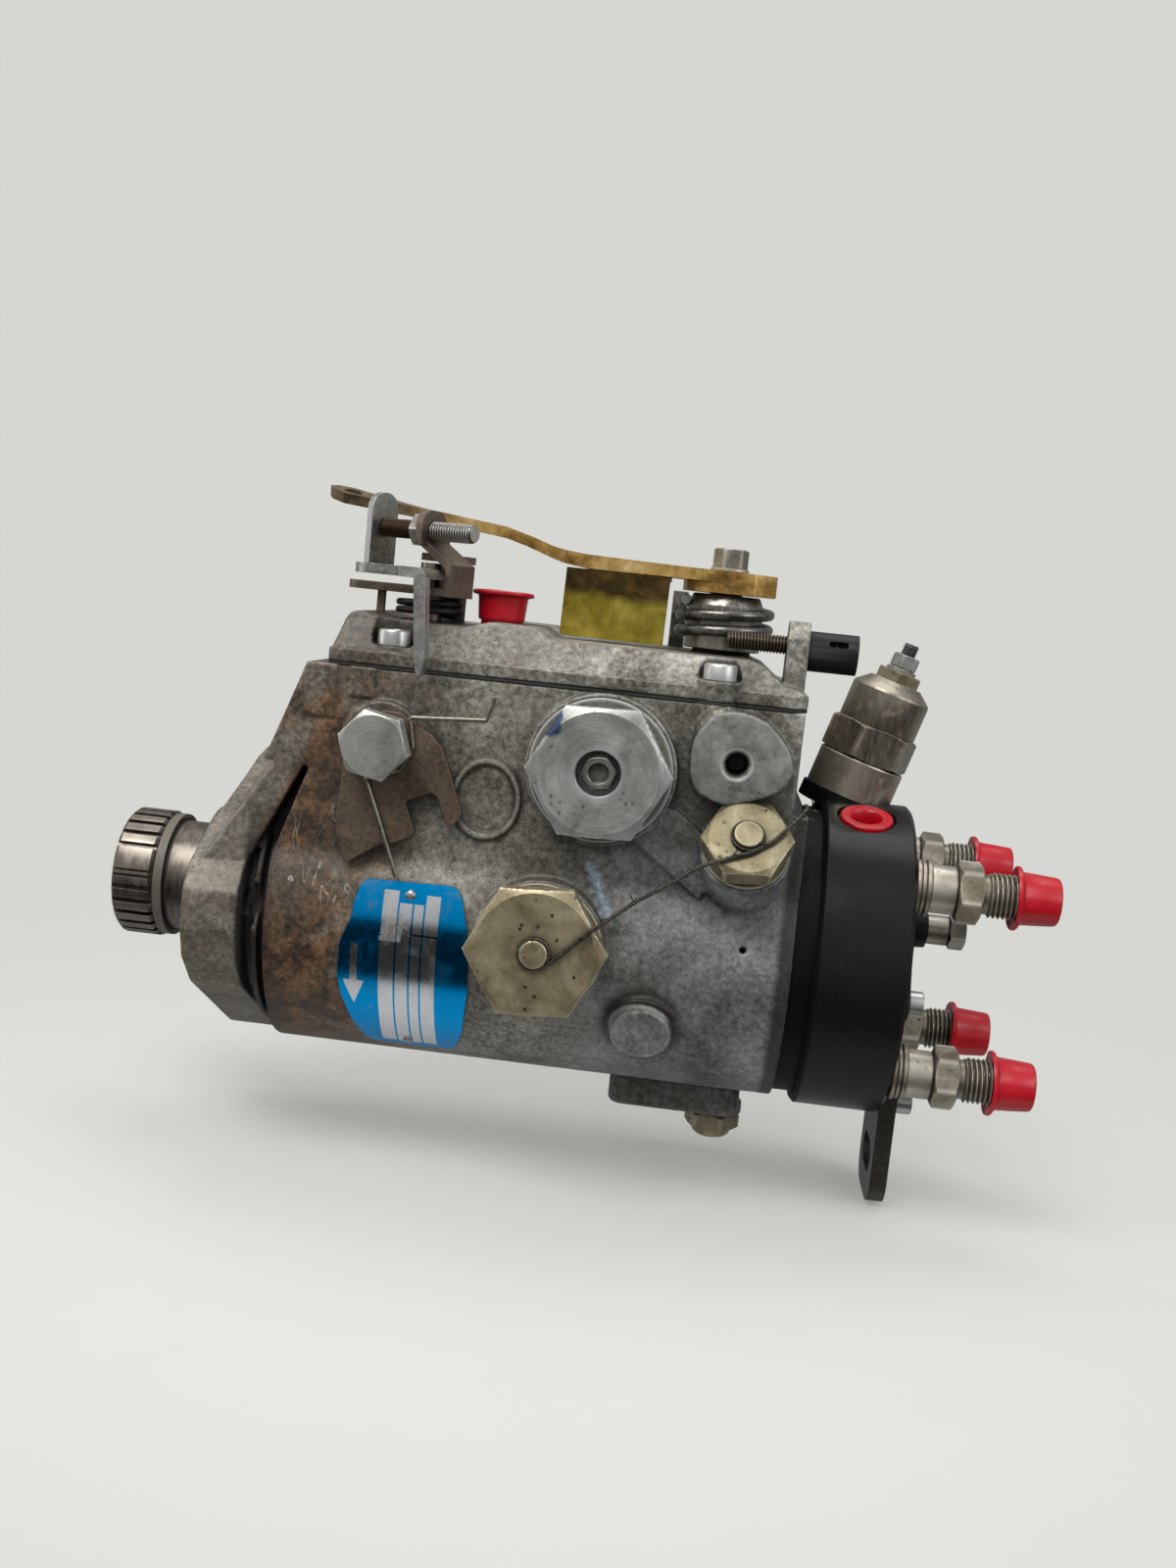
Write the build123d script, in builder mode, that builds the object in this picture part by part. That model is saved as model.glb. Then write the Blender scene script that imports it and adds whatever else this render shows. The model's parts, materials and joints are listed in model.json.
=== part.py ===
from build123d import *
import os
from math import sin, cos, radians, atan2, hypot, pi

os.makedirs("parts", exist_ok=True)

# ---------------------------------------------------------------------------
# Rotary distributor diesel injection pump, millimetres.
# X is the drive axis, from the drive end towards the high-pressure outlets.
# Z is up, towards the governor cover.  -Y is the side with the plugs.
# The origin is on the drive axis, in the engine-side face of the flange.
# ---------------------------------------------------------------------------

# drive end
FLANGE_T = 17.5            # flange thickness
SPIGOT_R = 25.0            # locating spigot
SPIGOT_L = 5.0
BOLT_CIRCLE_R = 40.5       # three flange bolts
BOLT_ANGLES = (176, 56, 296)
BOLT_HOLE_R = 4.3          # M8 clearance
DRUM_R = 21.2              # splined drum
DRUM_X0, DRUM_X1 = -34.0, -20.2
SPLINES = 28
MASTER_A = 159.2           # direction of the master tooth from +Y towards +Z
COLLAR_R = 18.4
JOURNAL_R = 10.0

# housing
BARREL_R = 48.5
BARREL_X0, BARREL_X1 = 25.0, 187.0
BORE_R = 42.0
BLOCK_Y = 43.5             # half width of the upper block
JOINT_Z = 79.3             # housing to gasket
GASKET_T = 0.8
COVER_Z = JOINT_Z + GASKET_T

# head
HEAD_R = 50.0
HEAD_X0, HEAD_X1 = 193.5, 222.0
OUTLET = 29.3              # outlets stand on a square, +/- this in Y and Z

# levers
THR = (155.5, 2.0)         # throttle shaft, X and Y
STP = (62.0, -14.0)        # stop shaft, X and Y
RETURN = (84.4, -8.0)      # return connection, X and Y
STP_TURN = -28.0           # the stop lever's uprights are turned this much
SCREW_R = ((156.0, -41.5), (156.0, 41.5))     # cover screws on columns
SCREW_L = ((56.5, -38.0), (56.5, 38.0))       # cover screws within the wall
SCREW_XY = SCREW_R + SCREW_L


def front(y):
    """Sketch plane facing -Y: local x is X, local y is Z, extrudes to -Y."""
    return Plane((0, y, 0), x_dir=(1, 0, 0), z_dir=(0, -1, 0))


def radial(x, up, r):
    """Plane square to a radius, 'up' degrees above -Y, at distance r."""
    a = radians(up)
    n = (0, -cos(a), sin(a))
    return Plane((x, r * n[1], r * n[2]), x_dir=(1, 0, 0), z_dir=n)


def across(x):
    """Sketch plane facing +X: local x is Y, local y is Z."""
    return Plane.YZ.offset(x)


LOCK = (56.7, 57.3)        # locking screw, X and Z
BIG = (124.0, 56.6)        # governor side plug, X and Z
TAP = (163.8, 62.5)        # tapped boss, X and Z
INSP_X, INSP_UP = 110.6, 1.5
VENT_X, VENT_UP = 169.3, 37.5
BLANK_X, BLANK_UP = 144.2, -26.5
ADV_Y, ADV_Z = 8.5, -51.2

# ------------------------------------------------------------ pump_housing
with BuildPart() as pump_housing:
    # flange: a rounded three-eared outline
    with BuildSketch(across(0)) as flange_sk:
        with BuildLine():
            Polyline((-45.5, 14.5), (-29.7, 23), (-11.4, 29.3), (6.1, 35.6), (20, 41),
                     (30, 43.5), (36, 39), (36, 25), (27, -2), (31, -30), (31, -43),
                     (20, -54), (8, -51), (-37.5, -26), (-47.3, -16), (-50.8, -6),
                     (-50.8, 6.5), close=True)
        make_face()
    extrude(amount=FLANGE_T)
    fillet(pump_housing.edges().filter_by(Axis.X), 2.6)
    chamfer(pump_housing.faces().sort_by(Axis.X)[0].edges(), 0.7)
    with BuildSketch(across(-SPIGOT_L)):
        Circle(SPIGOT_R)
    extrude(amount=SPIGOT_L + 1)
    # barrel and upper block in one filleted section
    with BuildSketch(across(BARREL_X0)) as sec_sk:
        Circle(BARREL_R)
        with Locations((0, JOINT_Z / 2)):
            Rectangle(2 * BLOCK_Y, JOINT_Z)
        fillet(sec_sk.vertices().filter_by(lambda v: 15 < v.Y < 30), 14)
    extrude(amount=BARREL_X1 - BARREL_X0)
    # ramp from the flange rim up to the block
    with BuildSketch(across(3.0)):
        with BuildLine():
            Polyline((30, 43), (-45.0, 14), (-45.0, 0), (30, 0), close=True)
        make_face()
    with BuildSketch(across(25.5)):
        with BuildLine():
            Polyline((30, 53), (-43.5, 50), (-43.5, 0), (30, 0), close=True)
        make_face()
    loft(ruled=True)
    with BuildSketch(Plane.XZ):
        with BuildLine():
            Polyline((20.5, 48), (20.5, 50.5), (31.5, JOINT_Z), (34, JOINT_Z), (34, 48), close=True)
        make_face()
    extrude(amount=BLOCK_Y, both=True)
    # sloping front wall, and the short end of the block over the barrel
    with BuildSketch(Plane.XZ):
        with BuildLine():
            Polyline((-10, 50.5), (21.2, 50.5), (31.5, JOINT_Z), (31.5, 110), (-10, 110), close=True)
        make_face()
        with Locations((192.5, 88.5)):
            Rectangle(20, 80)
    extrude(amount=60, both=True, mode=Mode.SUBTRACT)
    # wedge pockets between the flange and the barrel
    with BuildSketch(front(-34)):
        with BuildLine():
            Polyline((17.5, 16), (33.0, 48.0), (34.5, 47.0), (25.4, 20), (25.4, -60), (17.5, -60), close=True)
        make_face()
    extrude(amount=26, mode=Mode.SUBTRACT)
    with BuildSketch(front(60)):
        with BuildLine():
            Polyline((17.5, 16), (33.0, 48.0), (34.5, 47.0), (25.4, 20), (25.4, -60), (17.5, -60), close=True)
        make_face()
    extrude(amount=26, mode=Mode.SUBTRACT)
    # neck behind the flange with a thin cast rib
    with BuildSketch(across(12)):
        Circle(40)
    extrude(amount=20)
    with BuildSketch(across(20.3)):
        Circle(44.5)
    extrude(amount=2.0)
    # columns under the cover screws
    with BuildSketch(Plane.XY.offset(62)):
        with Locations(*SCREW_R):
            Circle(6.4)
    extrude(amount=JOINT_Z - 62)
    # shallow columns near the front of the block
    with BuildSketch(front(-40)):
        with Locations((36.5, 71.3)):
            Rectangle(9, 16)
        with Locations((49.0, 74.8)):
            Rectangle(8, 9)
    extrude(amount=4.4)
    # round boss of the side plug
    with BuildSketch(front(-38)):
        with Locations(BIG):
            Circle(22.7)
    extrude(amount=12)
    # tapped boss
    with BuildSketch(front(-38)) as tap_sk:
        with BuildLine():
            Polyline((150.2, 68.5), (155.5, 76.5), (163, 78.2), (172, 75.5), (179.5, 67),
                     (180, 60), (176, 55), (168, 51.5), (160.9, 50.0), (153, 53.0),
                     (150.1, 59.0), close=True)
        make_face()
        fillet(tap_sk.vertices(), 2.4)
    extrude(amount=11)
    # bosses of the inspection plug, vent plug and the blank boss
    with BuildSketch(radial(INSP_X, INSP_UP, 38)):
        Circle(20.4)
    extrude(amount=13.3)
    with BuildSketch(radial(VENT_X, VENT_UP, 36)):
        Circle(13.6)
    extrude(amount=25)
    with BuildSketch(radial(BLANK_X, BLANK_UP, 38)):
        Circle(12.2)
    extrude(amount=11.4, taper=3)
    with BuildSketch(radial(BLANK_X, BLANK_UP, 38)):
        Circle(9.6)
    extrude(amount=14.3)
    # pad of the locking screw
    with BuildSketch(front(-38)):
        with Locations(LOCK):
            Circle(12.5)
    extrude(amount=8.2)
    # plain raised oval ring cast on the wall
    with BuildSketch(front(-42)):
        with Locations((89.8, 43.4)):
            Ellipse(10.6, 12.4)
            Ellipse(8.9, 10.7, mode=Mode.SUBTRACT)
    extrude(amount=2.4)
    # broad cast web between the side plug boss and the vent boss
    with BuildSketch(front(-38)):
        with BuildLine():
            Polyline((133.5, 37.5), (157.0, 20.6), (161.0, 27), (158.5, 38.8), (147.0, 47.0), (141, 47), close=True)
        make_face()
    extrude(amount=7.4)

    # inside: seal and bush bores, governor chamber, upper chamber
    with BuildSketch(across(-SPIGOT_L)):
        Circle(19.6)
    extrude(amount=SPIGOT_L + 5.5, mode=Mode.SUBTRACT)
    with BuildSketch(across(0)):
        Circle(16.0)
    extrude(amount=13.0, mode=Mode.SUBTRACT)
    with BuildSketch(across(0)):
        Circle(13.0)
    extrude(amount=60, mode=Mode.SUBTRACT)
    with BuildSketch(across(50)):
        Circle(BORE_R)
    extrude(amount=140, mode=Mode.SUBTRACT)
    with BuildSketch(Plane.XY):
        with Locations((111, 0)):
            Rectangle(134, 68)
    extrude(amount=90, mode=Mode.SUBTRACT)
    # flange bolt holes
    with BuildSketch(across(-1)):
        for a in BOLT_ANGLES:
            with Locations((BOLT_CIRCLE_R * cos(radians(a)), BOLT_CIRCLE_R * sin(radians(a)))):
                Circle(BOLT_HOLE_R)
    extrude(amount=FLANGE_T + 1.2, mode=Mode.SUBTRACT)
    # room for bolt heads and nuts behind the flange
    with BuildSketch(across(FLANGE_T)):
        for a in BOLT_ANGLES[:1]:
            with Locations((-49.5, 2.8)):
                Circle(9.2)
    extrude(amount=7.5, mode=Mode.SUBTRACT)
    with BuildSketch(across(FLANGE_T)):
        for a in BOLT_ANGLES[1:]:
            with Locations((BOLT_CIRCLE_R * cos(radians(a)), BOLT_CIRCLE_R * sin(radians(a)))):
                Circle(9.2)
    extrude(amount=16, mode=Mode.SUBTRACT)
    # plug bores
    with BuildSketch(front(-30)):
        with Locations(BIG):
            Circle(14.0)
        with Locations(LOCK):
            Circle(5.05)
    extrude(amount=25, mode=Mode.SUBTRACT)
    with BuildSketch(front(-36)):
        with Locations(TAP):
            Circle(3.4)
    extrude(amount=20, mode=Mode.SUBTRACT)
    with BuildSketch(front(-48.0)):
        with Locations(TAP):
            Circle(3.4)
    extrude(amount=1.0, taper=-45, mode=Mode.SUBTRACT)
    with BuildSketch(radial(INSP_X, INSP_UP, 30)):
        Circle(13.0)
    extrude(amount=25, mode=Mode.SUBTRACT)
    with BuildSketch(radial(VENT_X, VENT_UP, 30)):
        Circle(8.0)
    extrude(amount=35, mode=Mode.SUBTRACT)
    with BuildSketch(radial(VENT_X, VENT_UP, 61.0)):
        Circle(13.7)
    extrude(amount=14, mode=Mode.SUBTRACT)
    with BuildSketch(radial(171.8, 8.5, 44)):
        Circle(1.1)
    extrude(amount=6, mode=Mode.SUBTRACT)
    # tapped holes of the cover screws
    with BuildSketch(Plane.XY.offset(64)):
        with Locations(*SCREW_XY):
            Circle(3.0)
    extrude(amount=20, mode=Mode.SUBTRACT)
    # seat of the advance housing and the slot of the cam pin
    with BuildSketch(Plane.XY.offset(-60)):
        with Locations((156.2, 12)):
            Rectangle(43.8, 47.0)
    extrude(amount=14.5, mode=Mode.SUBTRACT)
    with BuildSketch(Plane.XY.offset(-60)):
        with Locations((155, ADV_Y + 2.5)):
            Rectangle(8, 20)
    extrude(amount=22, mode=Mode.SUBTRACT)
pump_housing.part.label = "pump_housing"
export_step(pump_housing.part, "parts/pump_housing.step")

# ---------------------------------------------------------- governor_cover
EAR_Y0, EAR_Y1 = -28.0, -14.0
with BuildPart() as governor_cover:
    with BuildSketch(Plane.XZ):
        with BuildLine():
            Polyline((38.5, COVER_Z), (38.5, 84.3), (40.5, 93.0), (42.0, 95.3), (44.5, 95.9), (52, 94.2),
                     (77.0, 94.0), (84.5, 96.2), (98.5, 96.0), (103.5, 93.0), (164.5, 92.9),
                     (169.5, 91.2), (175.5, 86.4), (181.5, 85.0), (181.5, COVER_Z), close=True)
        make_face()
    extrude(amount=60, both=True)
    with BuildSketch(across(30)):
        with BuildLine():
            Polyline((-42.6, COVER_Z), (-42.6, 84.3), (-36.5, 93.0), (-35, 97.5), (35, 97.5), (36.5, 93.0),
                     (42.6, 84.3), (42.6, COVER_Z), close=True)
        make_face()
    extrude(amount=160, mode=Mode.INTERSECT)
    # lip
    with BuildSketch(Plane.XY.offset(COVER_Z)):
        with Locations((110, 0)):
            RectangleRounded(146, 88, 5)
    extrude(amount=4.1)
    # screw bosses and pockets for the heads
    with BuildSketch(Plane.XY.offset(86.3)):
        with Locations(*SCREW_XY):
            Circle(6.6)
    extrude(amount=12, mode=Mode.SUBTRACT)
    with BuildSketch(Plane.XY.offset(COVER_Z)):
        with Locations(*SCREW_R):
            Circle(6.4)
        with Locations(*SCREW_L):
            Circle(5.7)
    extrude(amount=86.3 - COVER_Z)
    # hollow
    with BuildSketch(Plane.XY.offset(COVER_Z)):
        with Locations((109, 0)):
            Rectangle(128, 64)
    extrude(amount=9.4, mode=Mode.SUBTRACT)
    # shaft bosses
    with BuildSketch(Plane.XY.offset(84)):
        with Locations(THR):
            Circle(9.5)
    extrude(amount=10.2)
    with BuildSketch(Plane.XY.offset(84)):
        with Locations(STP):
            Circle(8.4)
    extrude(amount=10.5)
    # back stop for the throttle lever's stop plate
    with BuildSketch(Plane.XY.offset(90)):
        with Locations((140.0, 27.0)):
            Rectangle(5, 8)
    extrude(amount=22)
    # upright ear that carries the stop screw
    with BuildSketch(across(175.5)) as ear_sk:
        with BuildLine():
            Polyline((EAR_Y0, 84), (EAR_Y0, 106), (EAR_Y1, 106), (EAR_Y1, 84), close=True)
        make_face()
        fillet(ear_sk.vertices().group_by(Axis.Y)[-1], 5.5)
    extrude(amount=6.6)
    # lugs that carry the governor arm's pin
    with BuildSketch(front(22)):
        with Locations((101, 76)):
            Rectangle(10, 30)
    extrude(amount=-4)
    with BuildSketch(front(-26)):
        with Locations((101, 76)):
            Rectangle(10, 30)
    extrude(amount=-4)
    # bores
    with BuildSketch(Plane.XY.offset(60)):
        with Locations(THR):
            Circle(5.03)
        with Locations(STP):
            Circle(4.03)
        with Locations(*SCREW_XY):
            Circle(3.3)
    extrude(amount=45, mode=Mode.SUBTRACT)
    with BuildSketch(Plane.XY.offset(80)):
        with Locations(RETURN):
            Circle(6.6)
    extrude(amount=20, mode=Mode.SUBTRACT)
    with BuildSketch(across(170)):
        with Locations((-21, 98.4)):
            Circle(3.0)
    extrude(amount=20, mode=Mode.SUBTRACT)
    with BuildSketch(front(30)):
        with Locations((101, 66)):
            Circle(2.55)
    extrude(amount=60, mode=Mode.SUBTRACT)
governor_cover.part.label = "governor_cover"
export_step(governor_cover.part, "parts/governor_cover.step")

# ------------------------------------------------------------ cover_gasket
with BuildPart() as cover_gasket:
    with BuildSketch(Plane.XY.offset(JOINT_Z)):
        with Locations((110, 0)):
            RectangleRounded(146, 87.4, 5)
        with Locations(*SCREW_R):
            Circle(6.2)
        with Locations(*SCREW_L):
            Circle(5.6)
        with Locations((110, 0)):
            Rectangle(132, 66, mode=Mode.SUBTRACT)
        with Locations(*SCREW_XY):
            Circle(3.3, mode=Mode.SUBTRACT)
    extrude(amount=GASKET_T)
cover_gasket.part.label = "cover_gasket"
export_step(cover_gasket.part, "parts/cover_gasket.step")

# ------------------------------------------------------------ cover_screws
with BuildPart() as cover_screws:
    with BuildSketch(Plane.XY.offset(66)):
        with Locations(*SCREW_XY):
            Circle(2.95)
    extrude(amount=20.5)
    with BuildSketch(Plane.XY.offset(86.3)):
        with Locations(*SCREW_XY):
            Circle(5.0)
    extrude(amount=4.9)
    chamfer(cover_screws.edges().group_by(Axis.Z)[-1], 0.5)
    with BuildSketch(Plane.XY.offset(88.2)):
        with Locations(*SCREW_XY):
            RegularPolygon(2.5, 6, major_radius=False)
    extrude(amount=4, mode=Mode.SUBTRACT)
cover_screws.part.label = "cover_screws"
export_step(cover_screws.part, "parts/cover_screws.step")

# -------------------------------------------------------------- name_plate
# blank anodised plate wrapped on the barrel
PLATE = [(55.0, 16.9), (56.5, 18.3), (82.0, 19.0), (84.0, 18.3), (85.9, 15.4), (88.3, 4.9), (89.7, -9.4),
         (90.0, -20.2), (88.2, -41.0), (85.4, -54.0), (83.5, -56.5), (59.5, -56.5), (57.0, -54.0),
         (53.4, -41.2), (50.4, -27.3), (49.4, -18.5), (49.9, -5.2), (52.9, 3.9), (53.2, 10.4)]
with BuildPart() as name_plate:
    with BuildSketch(across(48)):
        Circle(BARREL_R + 0.45)
        Circle(BARREL_R + 0.02, mode=Mode.SUBTRACT)
    extrude(amount=44)
    with BuildSketch(front(-10)) as plate_sk:
        with BuildLine():
            Polyline(*[(x, (BARREL_R + 0.4) * sin(radians(a))) for x, a in PLATE], close=True)
        make_face()
    extrude(amount=60, mode=Mode.INTERSECT)
name_plate.part.label = "name_plate"
export_step(name_plate.part, "parts/name_plate.step")

with BuildPart() as name_plate_rivets:
    for x, a in ((70.2, 14.3), (70.4, -51.0)):
        with BuildSketch(radial(x, a, BARREL_R + 0.47)):
            Circle(1.6)
        extrude(amount=0.8, taper=20)
name_plate_rivets.part.label = "name_plate_rivets"
export_step(name_plate_rivets.part, "parts/name_plate_rivets.step")

# ------------------------------------------------------- shaft_bush / seal
with BuildPart() as shaft_bush:
    with BuildSketch(across(14)):
        Circle(12.98)
        Circle(JOURNAL_R + 0.04, mode=Mode.SUBTRACT)
    extrude(amount=34)
shaft_bush.part.label = "shaft_bush"
export_step(shaft_bush.part, "parts/shaft_bush.step")

with BuildPart() as shaft_seal:
    with BuildSketch(across(6)):
        Circle(15.97)
        Circle(JOURNAL_R + 0.03, mode=Mode.SUBTRACT)
    extrude(amount=6.5)
    with BuildSketch(across(5.5)):
        Circle(14.0)
        Circle(11.5, mode=Mode.SUBTRACT)
    extrude(amount=4, mode=Mode.SUBTRACT)
shaft_seal.part.label = "shaft_seal"
export_step(shaft_seal.part, "parts/shaft_seal.step")

# ------------------------------------------------------ governor_side_plug
BIG_Y = -50.0
with BuildPart() as governor_side_plug:
    with BuildSketch(front(BIG_Y)):
        with Locations(BIG):
            Circle(21.6)
    extrude(amount=1.6)
    with BuildSketch(front(BIG_Y - 1.6)):
        with Locations(BIG):
            RegularPolygon(19.0, 6, major_radius=False, rotation=1.5)
    extrude(amount=8.4)
    with BuildSketch(front(BIG_Y + 16)):
        with Locations(BIG):
            Circle(13.97)
    extrude(amount=16)
    # turned recess, then a through bore for the adjuster
    with BuildSketch(front(BIG_Y - 5)):
        with Locations(BIG):
            Circle(6.3)
    extrude(amount=10, mode=Mode.SUBTRACT)
    with BuildSketch(front(BIG_Y + 20)):
        with Locations(BIG):
            Circle(5.02)
    extrude(amount=40, mode=Mode.SUBTRACT)
    # bevelled corners of the hexagon
    with BuildSketch(front(BIG_Y + 17)):
        with Locations(BIG):
            Circle(21.8)
    extrude(amount=27.0, mode=Mode.INTERSECT)
governor_side_plug.part.label = "governor_side_plug"
export_step(governor_side_plug.part, "parts/governor_side_plug.step")

with BuildPart() as plug_adjuster:
    with BuildSketch(front(BIG_Y + 14)):
        with Locations(BIG):
            Circle(5.0)
    extrude(amount=19.2)
    with BuildSketch(front(BIG_Y - 5.2)):
        with Locations(BIG):
            RegularPolygon(4.6, 6, major_radius=False, rotation=8)
    extrude(amount=3.4)
    with BuildSketch(front(BIG_Y - 6)):
        with Locations(BIG):
            RegularPolygon(2.5, 6, major_radius=False, rotation=20)
    extrude(amount=4, mode=Mode.SUBTRACT)
plug_adjuster.part.label = "plug_adjuster"
export_step(plug_adjuster.part, "parts/plug_adjuster.step")

# --------------------------------------------------------- inspection_plug
INSP_R = 51.3
with BuildPart() as inspection_plug:
    with BuildSketch(radial(INSP_X, INSP_UP, INSP_R + 0.02)):
        Circle(19.8)
    extrude(amount=1.5)
    with BuildSketch(radial(INSP_X, INSP_UP, INSP_R + 1.5)):
        RegularPolygon(18.9, 6, major_radius=False, rotation=3.7)
    extrude(amount=7.6)
    with BuildSketch(radial(INSP_X, INSP_UP, INSP_R - 8)):
        Circle(12.97)
    extrude(amount=9)
    with BuildSketch(radial(INSP_X, INSP_UP, INSP_R - 8)):
        Circle(21.4)
    extrude(amount=17.1, mode=Mode.INTERSECT)
    # drilled sealing pin in the middle
    with BuildSketch(radial(INSP_X, INSP_UP, INSP_R + 9.0)):
        Circle(4.2)
    extrude(amount=2.4)
inspection_plug.part.label = "inspection_plug"
export_step(inspection_plug.part, "parts/inspection_plug.step")

# --------------------------------------------------------- upper_vent_plug
VENT_R = 61.0
with BuildPart() as upper_vent_plug:
    with BuildSketch(radial(VENT_X, VENT_UP, VENT_R + 0.02)):
        Circle(12.9)
    extrude(amount=1.5)
    with BuildSketch(radial(VENT_X, VENT_UP, VENT_R + 1.5)):
        RegularPolygon(12.0, 6, major_radius=False, rotation=4)
    extrude(amount=7.2)
    with BuildSketch(radial(VENT_X, VENT_UP, VENT_R - 14)):
        Circle(7.97)
    extrude(amount=15)
    with BuildSketch(radial(VENT_X, VENT_UP, VENT_R - 14)):
        Circle(13.4)
    extrude(amount=22.7, mode=Mode.INTERSECT)
    with BuildSketch(radial(VENT_X, VENT_UP, VENT_R + 8.6)):
        Circle(4.3)
    extrude(amount=2.6)
upper_vent_plug.part.label = "upper_vent_plug"
export_step(upper_vent_plug.part, "parts/upper_vent_plug.step")

# --------------------------------------------------------------- seal_wire
# twisted sealing wire from the inspection plug's pin, over the vent plug,
# to the joint between housing and head
WIRE_D = 1.5
WIRE = [(115.4, -61.45, -0.7), (119.4, -61.45, 3.2), (127.1, -61.4, 10.6), (139.2, -61.0, 21.0), (148.0, -62.0, 27.2),
        (156.3, -63.4, 33.6), (163.9, -61.15, 36.5), (170.6, -59.5, 38.7), (177.0, -56.6, 42.5), (182.6, -53.0, 48.2),
        (185.7, -48.5, 51.2), (186.3, -37.0, 51.2), (186.2, -26.5, 49.5)]
with BuildPart() as seal_wire:
    with BuildLine() as wire_ln:
        FilletPolyline(*WIRE, radius=2.4)
    wire_w = wire_ln.wires()[0]
    with BuildSketch(Plane(wire_w @ 0, z_dir=wire_w % 0)):
        Circle(WIRE_D / 2)
    sweep()
seal_wire.part.label = "seal_wire"
export_step(seal_wire.part, "parts/seal_wire.step")
wire_len = wire_ln.wires()[0].length
print("seal wire length", round(wire_len, 1), "radius", WIRE_D / 2, "volume ratio",
      round(seal_wire.part.volume / (wire_len * pi * WIRE_D ** 2 / 4), 4))

# ---------------------------------------------------------- hydraulic_head
SOL_Y, SOL_TILT = 10.6, 16.5
SOL_AX = (sin(radians(SOL_TILT)), 0, cos(radians(SOL_TILT)))
SOL_BASE = (202.2, SOL_Y, 50.6)


def sol(t):
    """Plane square to the solenoid's axis, t above its seat."""
    return Plane(tuple(SOL_BASE[i] + SOL_AX[i] * t for i in range(3)),
                 x_dir=(cos(radians(SOL_TILT)), 0, -sin(radians(SOL_TILT))), z_dir=SOL_AX)


IN_X, IN_UP = 206.8, 71.5
OUT_NEAR = [(-OUTLET, OUTLET), (-OUTLET, -OUTLET)]
OUT_FAR = [(OUTLET, OUTLET), (OUTLET, -OUTLET)]
OUTLETS = OUT_NEAR + OUT_FAR
FAR_DX = -4.0              # the far pair sits in spot faces this deep
END_SCREWS = [(2.5, 21.5), (17.75, -10.25), (-17.75, -10.25)]
BRACKET_SCREWS = [(-9.5, -44.5), (13.5, -43.5)]
METER = (171.5, 14.0)      # metering valve, X and Y
PUMP_X = 214.2             # bottom of the transfer pump's pocket
with BuildPart() as hydraulic_head:
    with BuildSketch(across(166)):
        Circle(BORE_R - 0.03)
    extrude(amount=22)
    with BuildSketch(across(BARREL_X1 + 0.02)):
        Circle(46.6)
    extrude(amount=HEAD_X0 - BARREL_X1)
    with BuildSketch(across(HEAD_X0)):
        Circle(HEAD_R)
    extrude(amount=HEAD_X1 - HEAD_X0)
    chamfer(hydraulic_head.edges().filter_by(GeomType.CIRCLE).filter_by(
        lambda e: abs(e.radius - HEAD_R) < 0.01), 1.2)
    # bosses of the solenoid and of the inlet
    with BuildSketch(sol(-5)):
        Circle(15.2)
    extrude(amount=5)
    with BuildSketch(sol(0)):
        Circle(15.3)
    extrude(amount=10, mode=Mode.SUBTRACT)
    with BuildSketch(radial(IN_X, IN_UP, 48.2)):
        Circle(9.4)
    extrude(amount=6, mode=Mode.SUBTRACT)
    # ring gallery, rotor bore and outlet ports
    with BuildSketch(across(160)):
        Circle(9.05)
    extrude(amount=70, mode=Mode.SUBTRACT)
    with BuildSketch(across(178)):
        Circle(30)
        Circle(15, mode=Mode.SUBTRACT)
    extrude(amount=6, mode=Mode.SUBTRACT)
    with BuildSketch(across(200)):
        with Locations(*OUTLETS):
            Circle(6.0)
    extrude(amount=30, mode=Mode.SUBTRACT)
    with BuildSketch(across(HEAD_X1 + FAR_DX)):
        with Locations(*OUT_FAR):
            Circle(9.6)
    extrude(amount=10, mode=Mode.SUBTRACT)
    with BuildSketch(across(206)):
        with Locations(*END_SCREWS, *BRACKET_SCREWS):
            Circle(2.5)
    extrude(amount=30, mode=Mode.SUBTRACT)
    # pocket of the transfer pump
    with BuildSketch(across(PUMP_X)):
        Circle(13.6)
    extrude(amount=20, mode=Mode.SUBTRACT)
    with BuildSketch(Plane.XY.offset(11)):
        with Locations(METER):
            Circle(4.04)
    extrude(amount=34, mode=Mode.SUBTRACT)
    with BuildSketch(radial(IN_X, IN_UP, 36)):
        Circle(6.6)
    extrude(amount=20, mode=Mode.SUBTRACT)
    with BuildSketch(sol(-14)):
        Circle(9.0)
    extrude(amount=20, mode=Mode.SUBTRACT)
hydraulic_head.part.label = "hydraulic_head"
export_step(hydraulic_head.part, "parts/hydraulic_head.step")

# ----------------------------------------------------------- outlet_unions
OUT_3D = [(0.0, y, z) for y, z in OUT_NEAR] + [(FAR_DX, y, z) for y, z in OUT_FAR]
with BuildPart() as outlet_unions:
    for dx, y, z in OUT_3D:
        with BuildSketch(across(206 + dx)):
            with Locations((y, z)):
                Circle(5.97)
        extrude(amount=21)
        with BuildSketch(across(226.6 + dx)):
            with Locations((y, z)):
                Circle(7.5)
        extrude(amount=8.4)
        with BuildSketch(across(234.8 + dx)):
            with Locations((y, z)):
                RegularPolygon(8.5, 6, major_radius=False, rotation=12)
        extrude(amount=7.5)
        with BuildSketch(across(242.2 + dx)):
            with Locations((y, z)):
                Circle(6.1)
        extrude(amount=2.2)
        with BuildSketch(across(244.3 + dx)):
            with Locations((y, z)):
                Circle(6.95)
        extrude(amount=13.0)
        with BuildSketch(across(257.2 + dx)):
            with Locations((y, z)):
                Circle(6.95)
        extrude(amount=1.2, taper=40)
    with BuildSketch(across(200)):
        with Locations(*OUTLETS):
            Circle(1.6)
    extrude(amount=70, mode=Mode.SUBTRACT)
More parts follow.
